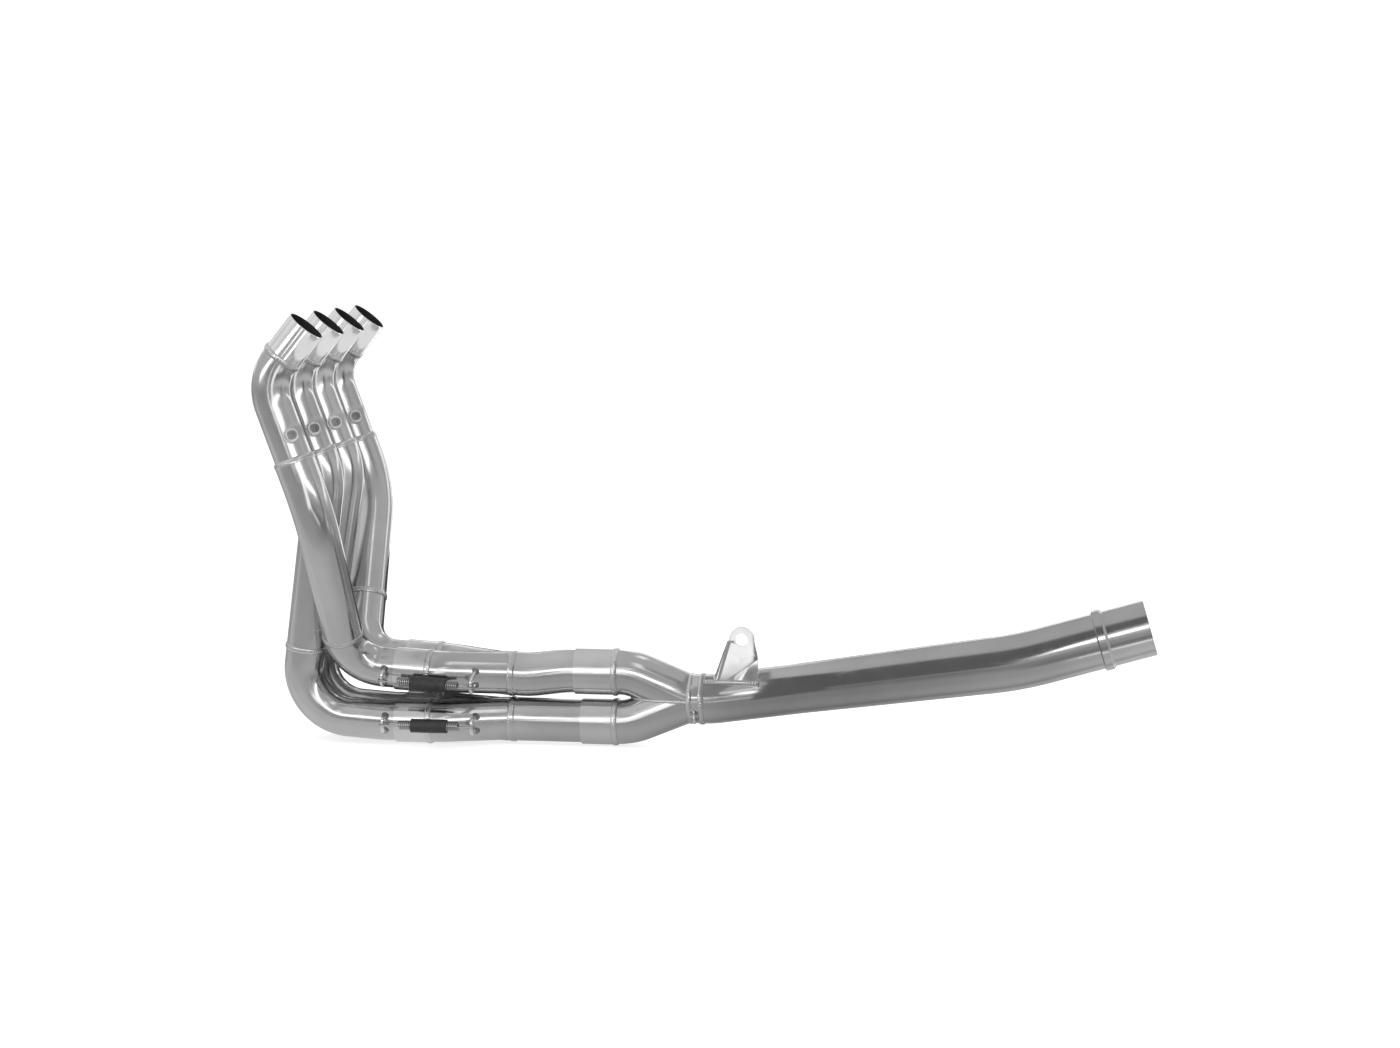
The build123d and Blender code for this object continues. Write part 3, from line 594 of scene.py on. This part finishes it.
# %% Rubber sleeves
def rubber_section():
    """Closed section of a rubber sleeve: (along, radius) pairs in millimetres, outside then bore."""
    start, stop, outer, bore, edge = 21.0, 59.0, 7.25, 5.1, 1.3
    ring_pitch, ring_depth, swell_depth = 2.03, 0.10, 0.22
    quarter = np.linspace(0, math.pi / 2, 7)
    outside = [(start + edge * (1 - math.sin(a)), outer - edge * (1 - math.cos(a))) for a in quarter[::-1]]
    for x in np.linspace(start + edge, stop - edge, 72)[1:-1]:
        ring = ring_depth * math.cos(2 * math.pi * (x - start) / ring_pitch) - ring_depth
        swell = swell_depth * math.sin(math.pi * (x - start) / (stop - start)) - swell_depth
        outside.append((x, outer + ring + swell))
    outside += [(stop - edge * (1 - math.sin(a)), outer - edge * (1 - math.cos(a))) for a in quarter]
    return outside + [(stop - 0.3, bore + 0.1), (stop - 0.8, bore), (start + 0.8, bore), (start + 0.3, bore + 0.1)]


def turned(section, steps=48):
    """Rows of points for a closed section turned round X."""
    around = np.linspace(0, 2 * math.pi, steps, endpoint=False)
    return np.array([[(x, r * math.sin(a), r * math.cos(a)) for x, r in section] for a in around])


for n, seat in spring_seat.items():
    grid = turned(rubber_section())
    rows = seated(grid.reshape(-1, 3), seat).reshape(grid.shape)
    hose = skin(f"rubber_hose_{n}", rows, rubber_finish, close_rows=True)
    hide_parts(f"spring_sleeve_{n}")
print("rubber sleeves:", len(spring_seat))

# %% [markdown]
# ## The hanger
#
# A drilled ear stands on the tail pipe and takes the bolt that holds the header to the motorcycle. It is one piece of
# sheet, folded back along its left edge for stiffness and flared out at its foot. First come the fold lines and the
# corners of the two leaves. A leaf is turned about its fold: what lies along the fold stays, and what lies square to
# it leans out of the ear's plane.

# %% Folds of the hanger
ear_base = Vector((0.41945, -0.017, -0.38136))
eye_height, crown_r, hole_r = 60.5, 13.0, 6.5
flare, flange_turn = math.radians(12), math.radians(60)
flange_width_low, flange_width_high = 9, 2


def on_ear(u, w):
    """Point of the ear's plane, from millimetres along and up."""
    return ear_base + Vector((u * MM, 0, w * MM))


fold_left, fold_right, edge_top = on_ear(-26.0, 10.2), on_ear(16.5, 42.33), on_ear(-12.48, 58.5)
fold_way = (fold_right - fold_left).normalized()
fold_down = Vector((fold_way.z, 0, -fold_way.x))
flared = fold_down * math.cos(flare) + Vector((0, -math.sin(flare), 0))
foot_corner = {}
for side, flat in (("right", on_ear(18.5, 7.65)), ("left", on_ear(-10.0, 3.06))):
    step = flat - fold_right
    foot_corner[side] = fold_right + fold_way * step.dot(fold_way) + flared * step.dot(fold_down)
edge_way = (fold_left - edge_top).normalized()
edge_out = Vector((edge_way.z, 0, -edge_way.x))
flange_out = edge_out * math.cos(flange_turn) + Vector((0, math.sin(flange_turn), 0))
flange_low = fold_left + flange_out * flange_width_low * MM
flange_high = edge_top + flange_out * flange_width_high * MM
print("foot flared by", round(math.degrees(flare)), "degrees, edge folded by", round(math.degrees(flange_turn)))

# %% [markdown]
# ## The hanger's sheet
#
# The mesh is made the way the sheet is: a flat outline with a hole, two leaves along the fold lines, then the folds
# rounded. Solidify gives it the gauge of the sheet, and Bevel breaks the sharp edges, which catches the light.
# Weighted Normal lets the large faces set the shading, so the leaves stay flat and only folds and edges look round.

# %% Hanger bracket
def on_eye(radius, angles):
    """Points on a circle about the middle of the bolt hole."""
    return [on_ear(radius * math.cos(a), eye_height + radius * math.sin(a)) for a in angles]


sheet = bmesh.new()
crown = on_eye(crown_r, np.linspace(math.radians(-8), math.radians(188), 33))
outline = [sheet.verts.new(p) for p in [fold_left, fold_right, *crown, edge_top]]
hole = [sheet.verts.new(p) for p in on_eye(hole_r, np.linspace(0, 2 * math.pi, 40, endpoint=False))]
loops = [sheet.edges.new((loop[k - 1], loop[k])) for loop in (outline, hole) for k in range(len(loop))]
bmesh.ops.triangle_fill(sheet, edges=loops, use_beauty=True)
foot = [sheet.verts.new(foot_corner[side]) for side in ("right", "left")]
sheet.faces.new([outline[1], outline[0], foot[1], foot[0]])
flange = [sheet.verts.new(p) for p in (flange_low, flange_high)]
sheet.faces.new([outline[0], outline[-1], flange[1], flange[0]])
bmesh.ops.recalc_face_normals(sheet, faces=sheet.faces)
folds = [e for e in sheet.edges if set(e.verts) in ({outline[0], outline[1]}, {outline[0], outline[-1]})]
bmesh.ops.bevel(sheet, geom=folds, offset=2.4 * MM, segments=5, profile=0.5, affect="EDGES", clamp_overlap=True)
hanger_mesh = bpy.data.meshes.new("pressed_hanger")
sheet.to_mesh(hanger_mesh)
sheet.free()
hanger_mesh.shade_smooth()
hanger_mesh.materials.append(polished_steel)
hanger = placed("pressed_hanger", hanger_mesh)
gauge = hanger.modifiers.new("gauge", "SOLIDIFY")
gauge.thickness, gauge.offset, gauge.use_even_offset = 3.0 * MM, 0.0, True
broken = hanger.modifiers.new("broken_edges", "BEVEL")
broken.width, broken.segments, broken.limit_method, broken.angle_limit = 0.55 * MM, 3, "ANGLE", math.radians(40)
broken.harden_normals = True
flat_leaves = hanger.modifiers.new("flat_leaves", "WEIGHTED_NORMAL")
flat_leaves.weight = 100
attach(hanger, "root")
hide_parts("hanger_bracket")
print("hanger of", len(hanger_mesh.polygons), "faces before its modifiers")

# %% [markdown]
# ## Welds at the hanger's foot
#
# The hanger is welded where its foot and its flange run into the pipe. The line of contact is found by walking down
# each leaf until the distance to the pipe's axis equals the pipe's radius, and a rippled bead is laid along it.

# %% Hanger welds
def square_to(axis, v):
    """What is left of a vector when its share along an axis is taken away."""
    return v - axis * v.dot(axis)


def meets_tube(start, way, axis_point, axis, radius):
    """First point on a ray that lies at a radius from a tube's axis, or None."""
    p, w = square_to(axis, Vector(start) - Vector(axis_point)), square_to(axis, Vector(way))
    a, b, c = w.dot(w), 2 * p.dot(w), p.dot(p) - radius**2
    root = b * b - 4 * a * c
    if a < 1e-12 or root < 0:
        return None
    return Vector(start) + Vector(way) * ((-b - math.sqrt(root)) / (2 * a))


tail_corner, tail_rise, tail_reach = Vector((0.38779, 0, -0.38598)), Vector((0.98953, 0, 0.14436)), 0.0256
foot_shift, flange_shift = Vector((0, -0.0013, -0.0004)), Vector((-0.0012, 0, 0))


def contact_line(tops, feet, shift):
    """Line where a leaf of the hanger meets the pipe, moved to the side that is welded."""
    line = []
    for t in np.linspace(0.0, 1.0, 24):
        high, low = tops[0].lerp(tops[1], t), feet[0].lerp(feet[1], t)
        contact = meets_tube(high, low - high, tail_corner, tail_rise, tail_reach)
        if contact:
            line.append(contact + shift)
    return line


foot_line = contact_line((fold_left, fold_right), (foot_corner["left"], foot_corner["right"]), foot_shift)
flange_line = contact_line((edge_top, flange_high), (fold_left, flange_low), flange_shift)
hanger_welds = [
    weld_seam("hanger_foot_weld", foot_line, bead=2.6, pitch=3.0, seed=5),
    weld_seam("hanger_flange_weld", flange_line, bead=2.2, pitch=2.6, seed=6),
]
for bright_bead in hanger_welds:
    bright_bead.data.materials[0] = polished_steel
print("hanger welds:", [(w.name, [round(v / MM, 1) for v in w.dimensions]) for w in hanger_welds])

# %% [markdown]
# ## Welds at the spring hooks
#
# Every wire hook stands on two legs, and each leg is tacked to the tube with one dab of weld that climbs a little way
# up the wire. A dab is a low cone with a hollow flank and an uneven rim, turned round the leg, in burnt steel. Where
# a leg meets the tube is found with the same ray as before.

# %% Hook welds
dab_section = [(-1.6, 1.7), (-0.5, 2.1), (0.25, 1.75), (0.9, 1.0), (1.7, 0.45), (2.6, 0.1), (2.6, -0.4), (-1.6, -0.4)]


def weld_dab(name, foot_point, up, wire):
    """Dab of weld round a wire's foot; wire is its radius in millimetres."""
    axis, side, other = across_axis(up)
    grid = []
    for a in np.linspace(0, 2 * math.pi, 36, endpoint=False):
        swell = 1 + 0.07 * math.sin(3 * a + 1.0) + 0.05 * math.sin(7 * a)
        outward = math.cos(a) * side + math.sin(a) * other
        row = [x * axis + (wire + depth * swell) * outward for x, depth in dab_section]
        grid.append([np.array(foot_point) + MM * point for point in row])
    return skin(name, grid, burnt_steel, close_rows=True)


dabs = []


def tack_pair(name, top, across, half, out, tube, wire):
    """Dabs where the two legs of a hook meet a tube, given by a point, an axis and a radius."""
    for side, letter in ((-1, "a"), (1, "b")):
        foot_point = meets_tube(top + across * (side * half * MM), -out, *tube)
        if foot_point:
            dabs.append(weld_dab(f"{name}_{letter}", foot_point, out, wire))


hook_half, hook_wire_r, merge_end = 7, 2.0, 0.116
branch_angle = bend_of_branch(*merge_branch)
for n, (origin, along, out) in spring_seat.items():
    inlet, deck = pipe_inlet[n]
    inward = Vector((0, -1 if inlet.y > 0 else 1, 0))
    branch_way = (deck * math.cos(branch_angle) + inward * math.sin(branch_angle)).normalized()
    meeting = inlet + deck * merge_end + inward * abs(inlet.y)
    for kind, place, tube in (
        ("pipe", front_loop, (inlet, deck, down_r * MM)),
        ("collector", rear_loop, (meeting, branch_way, branch_r * MM)),
    ):
        top = origin + along * (place * MM)
        tack_pair(f"{kind}_hook_weld_{n}", top, out.cross(along), hook_half, out, tube, hook_wire_r)
collar_turn, collar_hook_reach, collar_hook_half, collar_wire_r = math.radians(36), 0.0315, 4.5, 1.5
collar_out = Vector((0, -math.cos(collar_turn), -math.sin(collar_turn)))
collar_middle = collar_front + rearward * 0.006
top, tube = collar_middle + collar_out * collar_hook_reach, (collar_middle, rearward, tail_r * MM)
tack_pair("collar_hook_weld", top, collar_out.cross(rearward), collar_hook_half, collar_out, tube, collar_wire_r)
print("hook welds:", len(dabs))

# %% [markdown]
# ## Welds round the sampling bosses
#
# The small bosses on the head bends are saddled onto the tube and welded all round. The line of that weld is where a
# cylinder of the boss's size meets the tube: going round the boss, the height over the tube's axis follows from
# Pythagoras again.

# %% Boss welds
boss_weld_r, boss_weld_lift = 6.9, 0.1
boss_out = Vector((0.51652, -0.83538, 0.188)).normalized()
boss_side = boss_out.cross(leg).normalized()
for n, y in port_rows.items():
    seat_point = Vector((-0.02332, y, -0.11074))
    saddle = []
    for a in np.linspace(0, 2 * math.pi, 61):
        u, v = boss_weld_r * math.cos(a), boss_weld_r * math.sin(a)
        rise = math.sqrt(primary_r**2 - v * v) + boss_weld_lift
        saddle.append(seat_point + MM * (leg * u + boss_side * v + boss_out * rise))
    weld_seam(f"boss_weld_{n}", saddle, bead=1.15, pitch=1.7, seed=50 + n)
print("boss welds:", len(port_rows))

# %% [markdown]
# ## The floor
#
# The object lies in a white studio. A white floor that is only lit goes grey away from the lamps, so it also glows
# a little for the camera and for reflections. The diffuse half still takes the object's soft shadow.

# %% Floor
def seen_by_eye(finish):
    """1 for the eye's own rays, straight, mirrored or through glass; 0 for light on its way to other things."""
    ray = node(finish, "LightPath").outputs
    seen = calc(finish, "MAXIMUM", ray["Is Camera Ray"], ray["Is Glossy Ray"])
    return calc(finish, "MAXIMUM", seen, ray["Is Transmission Ray"])


def glowing_white(name, diffuse, level):
    """White surface that is partly lit and partly bright by itself, for the eye and for reflections."""
    finish = bpy.data.materials.new(name)
    finish.use_nodes = True
    tree = finish.node_tree
    tree.nodes.remove(tree.nodes["Principled BSDF"])
    strength = calc(finish, "MULTIPLY", seen_by_eye(finish), level)
    lit = node(finish, "BsdfDiffuse", None, Color=(diffuse, diffuse, diffuse, 1))
    bright = node(finish, "Emission", None, Color=(1, 1, 1, 1), Strength=strength)
    both = node(finish, "AddShader", None, i0=lit.outputs[0], i1=bright.outputs[0])
    tree.links.new(both.outputs[0], tree.nodes["Material Output"].inputs["Surface"])
    return finish


floor_half = 9
floor_level = cad_low.z - 0.0005
floor_corners = [(x * floor_half, y * floor_half, floor_level) for x, y in ((-1, -1), (1, -1), (1, 1), (-1, 1))]
floor_mesh = bpy.data.meshes.new("studio_floor")
floor_mesh.from_pydata(floor_corners, [], [(0, 1, 2, 3)])
floor_mesh.materials.append(glowing_white("white_floor", 0.60, 0.72))
floor = placed("studio_floor", floor_mesh)
print("floor at", round(floor_level / MM, 1), "mm")

# %% [markdown]
# ## Light
#
# Bare steel shows the room rather than the lamps, so lighting it means arranging bright and dark things round it.
# Photographers put polished tube in a tent of grey cloth: the cloth is graded from dark to pale, and narrow bright
# gaps in it draw the thin white lines along the tubes. The tent here is a long arch over the part, two end walls and
# a mat. It only shows in reflections and throws no shadow. Beyond it the room is white to the eye, and dimmer as a
# source of light.

# %% World
room_dim, room_bright = 0.60, 1.06
world = bpy.data.worlds.new("white_room")
bpy.context.scene.world = world
world.use_nodes = True
room = world.node_tree.nodes["Background"]
room.inputs["Color"].default_value = (1, 1, 1, 1)
room_level = between(world, seen_by_eye(world), room_dim, room_bright, start=0.0, stop=1.0)
world.node_tree.links.new(room_level, room.inputs["Strength"])
print("world: white to the eye and in reflections")

# %% [markdown]
# ## Cloth for the tent
#
# Cloth is a surface that only glows, as brightly as a list of stops says, each a place and a level; a colour ramp
# fills in between. A ramp holds values up to one, so levels are scaled down on the way in and up on the way out.

# %% Tent cloth
ramp_top = 4.0


def graded(cloth, value, stops, start, stop):
    """Brightness that follows a list of (place, level) stops."""
    place = between(cloth, value, 0.0, 1.0, start=start, stop=stop)
    ramp = node(cloth, "ValToRGB", None, Fac=place)
    elements = ramp.color_ramp.elements
    for number, (where, level) in enumerate(stops):
        at = (where - start) / (stop - start)
        element = elements[number] if number < 2 else elements.new(at)
        element.position = at
        element.color = (level / ramp_top, level / ramp_top, level / ramp_top, 1)
    return calc(cloth, "MULTIPLY", ramp.outputs["Color"], ramp_top)


def start_cloth(name):
    """Material that only glows, and the separated coordinates of its surface."""
    cloth = bpy.data.materials.new(name)
    cloth.use_nodes = True
    cloth.node_tree.nodes.remove(cloth.node_tree.nodes["Principled BSDF"])
    place = node(cloth, "SeparateXYZ", None, Vector=node(cloth, "TexCoord").outputs["Object"])
    return cloth, place.outputs


def glow(cloth, level):
    """Lets the cloth glow at a level."""
    bright = node(cloth, "Emission", None, Color=(1, 1, 1, 1), Strength=level)
    cloth.node_tree.links.new(bright.outputs[0], cloth.node_tree.nodes["Material Output"].inputs["Surface"])


def hang(name, corners, faces, cloth):
    """Piece of the tent: it shows in reflections and nowhere else."""
    mesh = bpy.data.meshes.new(name)
    mesh.from_pydata(corners, [], faces)
    mesh.materials.append(cloth)
    made = placed(name, mesh)
    made.visible_camera = made.visible_diffuse = made.visible_shadow = False
    made.visible_transmission = made.visible_volume_scatter = False


print("cloth helpers ready")

# %% [markdown]
# ## The arch
#
# The arch is graded by the angle round the part, from the front at 0 degrees over the top to the back at 180. Three
# layers add up: a grey skirt on both sides, the pale roof, and the bright gaps between them. Towards the tail the
# skirt grows paler and the roof darker.

# %% Arch
tent_left, tent_right, tent_half, tent_radius, tent_axis = -3.2, 4.0, 2.0, 2.0, -0.33
low_stops = [(-6, 0.36), (8, 0.38), (20, 0.44), (34, 0), (146, 0), (160, 0.44), (172, 0.38), (186, 0.36)]
high_stops = [(-10, 0), (12, 0), (24, 0.26), (34, 0.66), (46, 0.76), (64, 0.80), (90, 0.84)]
high_stops += [(130, 0.80), (146, 0.70), (156, 0.30), (168, 0)]
gap_stops = [(-10, 0), (11, 0), (13, 2.8), (20, 2.8), (22, 0), (157, 0), (159, 1.2), (163, 1.2), (165, 0)]
low_along = [(-4, 1), (0.3, 1), (0.55, 1.5), (4, 1.5)]
high_along = [(-4, 1), (-0.4, 1), (-0.1, 0.88), (0.08, 0.74), (4, 0.72)]
gap_along = [(-4, 1), (4, 1)]
arch_cloth, arch_place = start_cloth("arch_cloth")
rise = calc(arch_cloth, "SUBTRACT", arch_place["Z"], tent_axis)
forward = calc(arch_cloth, "MULTIPLY", arch_place["Y"], -1.0)
degrees = calc(arch_cloth, "MULTIPLY", calc(arch_cloth, "ARCTAN2", rise, forward), 180 / math.pi)
layers = []
for turn_stops, along_stops in ((low_stops, low_along), (high_stops, high_along), (gap_stops, gap_along)):
    by_turn = graded(arch_cloth, degrees, turn_stops, -10.0, 190.0)
    by_place = graded(arch_cloth, arch_place["X"], along_stops, -4.0, 4.0)
    layers.append(calc(arch_cloth, "MULTIPLY", by_turn, by_place))
glow(arch_cloth, calc(arch_cloth, "ADD", calc(arch_cloth, "ADD", layers[0], layers[1]), layers[2]))

arch_turns = [math.radians(a) for a in range(-4, 185, 2)]
arch_points = [
    (x, -tent_radius * math.cos(a), tent_axis + tent_radius * math.sin(a))
    for a in arch_turns
    for x in (tent_left, tent_right)
]
arch_faces = [(2 * k, 2 * k + 1, 2 * k + 3, 2 * k + 2) for k in range(len(arch_turns) - 1)]
hang("tent_arch", arch_points, arch_faces, arch_cloth)
print("arch of", tent_right - tent_left, "m, graded in", len(layers), "layers")

# %% [markdown]
# ## End walls and mat
#
# The walls close the tent's ends. The mat lies just above the floor and shades the undersides of the tubes: pale in
# front, darker under the collectors and paler again under the tail's end.

# %% End walls and mat
wall_low, wall_high = -0.5, 1.7
wall_stops = [(-0.5, 0.45), (0.1, 0.62), (0.9, 0.70), (1.7, 0.6)]
wall_cloth, wall_place = start_cloth("wall_cloth")
glow(wall_cloth, graded(wall_cloth, wall_place["Z"], wall_stops, wall_low, wall_high))
for side, x in (("left", tent_left), ("right", tent_right)):
    wall = [(x, -tent_half, wall_low), (x, tent_half, wall_low), (x, tent_half, wall_high), (x, -tent_half, wall_high)]
    hang(f"tent_wall_{side}", wall, [(0, 1, 2, 3)], wall_cloth)

mat_half, mat_level = 2.2, floor_level + 0.0001
along_stops = [(-4, 0.68), (0.0, 0.68), (0.1, 0.62), (0.2, 0.53), (0.33, 0.46), (0.45, 0.33)]
along_stops += [(0.58, 0.36), (0.66, 0.44), (0.75, 0.52), (0.85, 0.7), (4, 0.6)]
half_across = [(2, 0.65), (0.6, 0.70), (0.3, 0.78), (0.2, 1.0), (0.1, 1.0), (0.05, 1.15), (0.025, 1.15)]
across_stops = [(-y, level) for y, level in half_across] + [(0, 0.75)] + half_across[::-1]
mat_cloth, mat_place = start_cloth("mat_cloth")
mat_along = graded(mat_cloth, mat_place["X"], along_stops, -4.0, 4.0)
mat_across = graded(mat_cloth, mat_place["Y"], across_stops, -2.0, 2.0)
glow(mat_cloth, calc(mat_cloth, "MULTIPLY", mat_along, mat_across))
mat_corners = ((tent_left, -mat_half), (tent_right, -mat_half), (tent_right, mat_half), (tent_left, mat_half))
hang("tent_mat", [(x, y, mat_level) for x, y in mat_corners], [(0, 1, 2, 3)], mat_cloth)
print("mat", round((mat_level - floor_level) / MM, 1), "mm above the floor")

# %% [markdown]
# ## Panels in the tent
#
# Inside the tent hang a few boards, some white and some black. A long pipe only shows the board that stands where its
# reflected ray goes, and that ray leaves at the angle at which the eye's ray came in. A board is made of quads that
# stand upright, lie level in the air or lie on the mat, and it may have a twin on the far side.

# %% Panel helpers
def board(name, level, *quads, twin=True):
    """Board made of quads with corners in metres, and its twin on the far side."""
    cloth, _ = start_cloth(name)
    glow(cloth, level)
    for side, flip in (("near", 1), ("far", -1))[: 2 if twin else 1]:
        corners = [(x, flip * y, z) for quad in quads for x, y, z in quad]
        faces = [tuple(range(4 * k, 4 * k + 4)) for k in range(len(quads))]
        hang(f"{name}_{side}", corners, faces, cloth)


def upright(y, *corners):
    """Quad in an upright plane."""
    return [(x, y, z) for x, z in corners]


def level_at(z, *corners):
    """Quad in a level plane."""
    return [(x, y, z) for x, y in corners]


def lying(*corners):
    """Quad just above the mat."""
    return level_at(mat_level + 0.0002, *corners)


print("panel helpers ready")

# %% [markdown]
# ## Panels near the part
#
# The black board close to the tail pipe keeps the bright gap of the tent out of it and gives it its dark flank. Small
# grey ones do the same for the collar and the hanger's foot. Level boards behind the stubs make them shine, and dark
# boards behind the collectors keep the slot between them black.

# %% Panels near the part
board(
    "black_board",
    0.16,
    upright(-0.08, (0.425, -0.400), (0.500, -0.380), (0.490, -0.300), (0.425, -0.300)),
    upright(-0.08, (0.425, -0.300), (0.490, -0.300), (0.490, -0.240), (0.385, -0.170)),
    upright(-0.22, (0.430, -0.392), (0.500, -0.367), (0.500, 0.03), (0.430, 0.03)),
    upright(-0.22, (0.500, -0.367), (0.685, -0.335), (0.685, 0.03), (0.500, 0.03)),
    upright(-0.22, (0.685, -0.300), (0.760, -0.190), (0.760, 0.03), (0.685, 0.03)),
    upright(-0.22, (0.760, -0.190), (0.950, -0.140), (0.950, 0.03), (0.760, 0.03)),
    twin=False,
)
board("grey_board", 0.40, upright(-0.22, (0.430, 0.03), (0.95, 0.03), (0.95, 0.12), (0.430, 0.12)), twin=False)
hanger_side = upright(-0.15, (0.360, -0.347), (0.389, -0.347), (0.389, -0.322), (0.360, -0.322))
board("hanger_shade", 0.24, hanger_side, twin=False)
board(
    "collar_shade",
    0.33,
    upright(-0.05, (0.362, -0.372), (0.390, -0.372), (0.396, -0.300), (0.362, -0.300)),
    level_at(-0.33, (0.372, -0.05), (0.396, -0.05), (0.396, 0.02), (0.372, 0.02)),
    level_at(-0.30, (0.415, -0.05), (0.433, -0.05), (0.433, 0.02), (0.415, 0.02)),
    twin=False,
)
under_stubs = ((0.030, -0.26), (0.062, -0.26), (0.062, 0.20), (0.030, 0.20))
board("stub_glow", 0.80, level_at(-0.080, *under_stubs), twin=False)
board("stub_glow_back", 0.50, level_at(-0.082, *under_stubs), twin=False)
board(
    "slot_shade",
    0.06,
    upright(0.25, (-0.15, -0.432), (0.17, -0.432), (0.17, -0.27), (-0.15, -0.27)),
    lying((-0.05, 0.01), (0.19, 0.01), (0.19, 0.20), (-0.05, 0.20)),
    twin=False,
)
print("panels near the part, for its front side")

# %% [markdown]
# ## Panels further out
#
# The upright white boards draw the lines on the head bends, one under the roof lights the feet of the pipes, and the
# boards on the mat light the hanger and set off the tail's end. These have twins, so the part is lit alike from behind.

# %% Panels further out
board("head_line", 1.7, upright(-0.65, (-0.08, -0.15), (-0.03, -0.14), (-0.01, 0.10), (-0.05, 0.10)))
board("brow_line", 1.7, upright(-0.65, (0.13, -0.09), (0.23, -0.06), (0.37, 0.12), (0.29, 0.11)))
board("knee_line", 1.7, upright(-0.65, (0.06, -0.40), (0.25, -0.34), (0.23, -0.06), (0.13, -0.09)))
roof_radius, roof_low, roof_high = 1.95, math.radians(49), math.radians(70)
roof_quad = [
    (x, -roof_radius * math.cos(a), tent_axis + roof_radius * math.sin(a))
    for a, x in ((roof_low, 0.52), (roof_low, 0.78), (roof_high, 0.78), (roof_high, 0.52))
]
board("foot_line", 1.5, roof_quad)
board("hanger_glow", 1.2, lying((0.30, -0.44), (0.40, -0.46), (0.38, -0.90), (0.24, -0.90)))
board("tail_glow", 1.8, lying((0.78, -0.165), (1.00, -0.185), (1.00, -0.215), (0.78, -0.185)))
board("tail_shade", 0.28, lying((0.72, -0.21), (1.00, -0.24), (1.00, -0.50), (0.72, -0.42)))
print("boards hung at the front and at the back")

# %% [markdown]
# ## Lamps
#
# The tent does the work on the steel. Two soft lamps shape the rubber and lay a soft shadow on the floor. They are
# hidden from reflections, so no lamp shows in the tubes.

# %% Lamps
def lamp(name, place, width, height, watts):
    """Soft area lamp that looks at the middle of the part."""
    made = placed(name, bpy.data.lights.new(name, "AREA"))
    made.data.shape = "RECTANGLE"
    made.data.size, made.data.size_y = width, height
    made.data.energy = watts
    made.location = place
    made.rotation_mode = "QUATERNION"
    made.rotation_quaternion = (middle - Vector(place)).to_track_quat("-Z", "Y")
    made.visible_glossy = False
    return made


middle = (Vector(cad_low) + Vector(cad_high)) / 2
lamps = [
    lamp("soft_front", middle + Vector((-0.3, -1.6, 1.3)), 1.6, 0.8, 14.0),
    lamp("soft_back", middle + Vector((0.3, 1.6, 1.3)), 1.6, 0.8, 10.0),
]
print("lamps:", [(made.name, made.data.energy) for made in lamps])
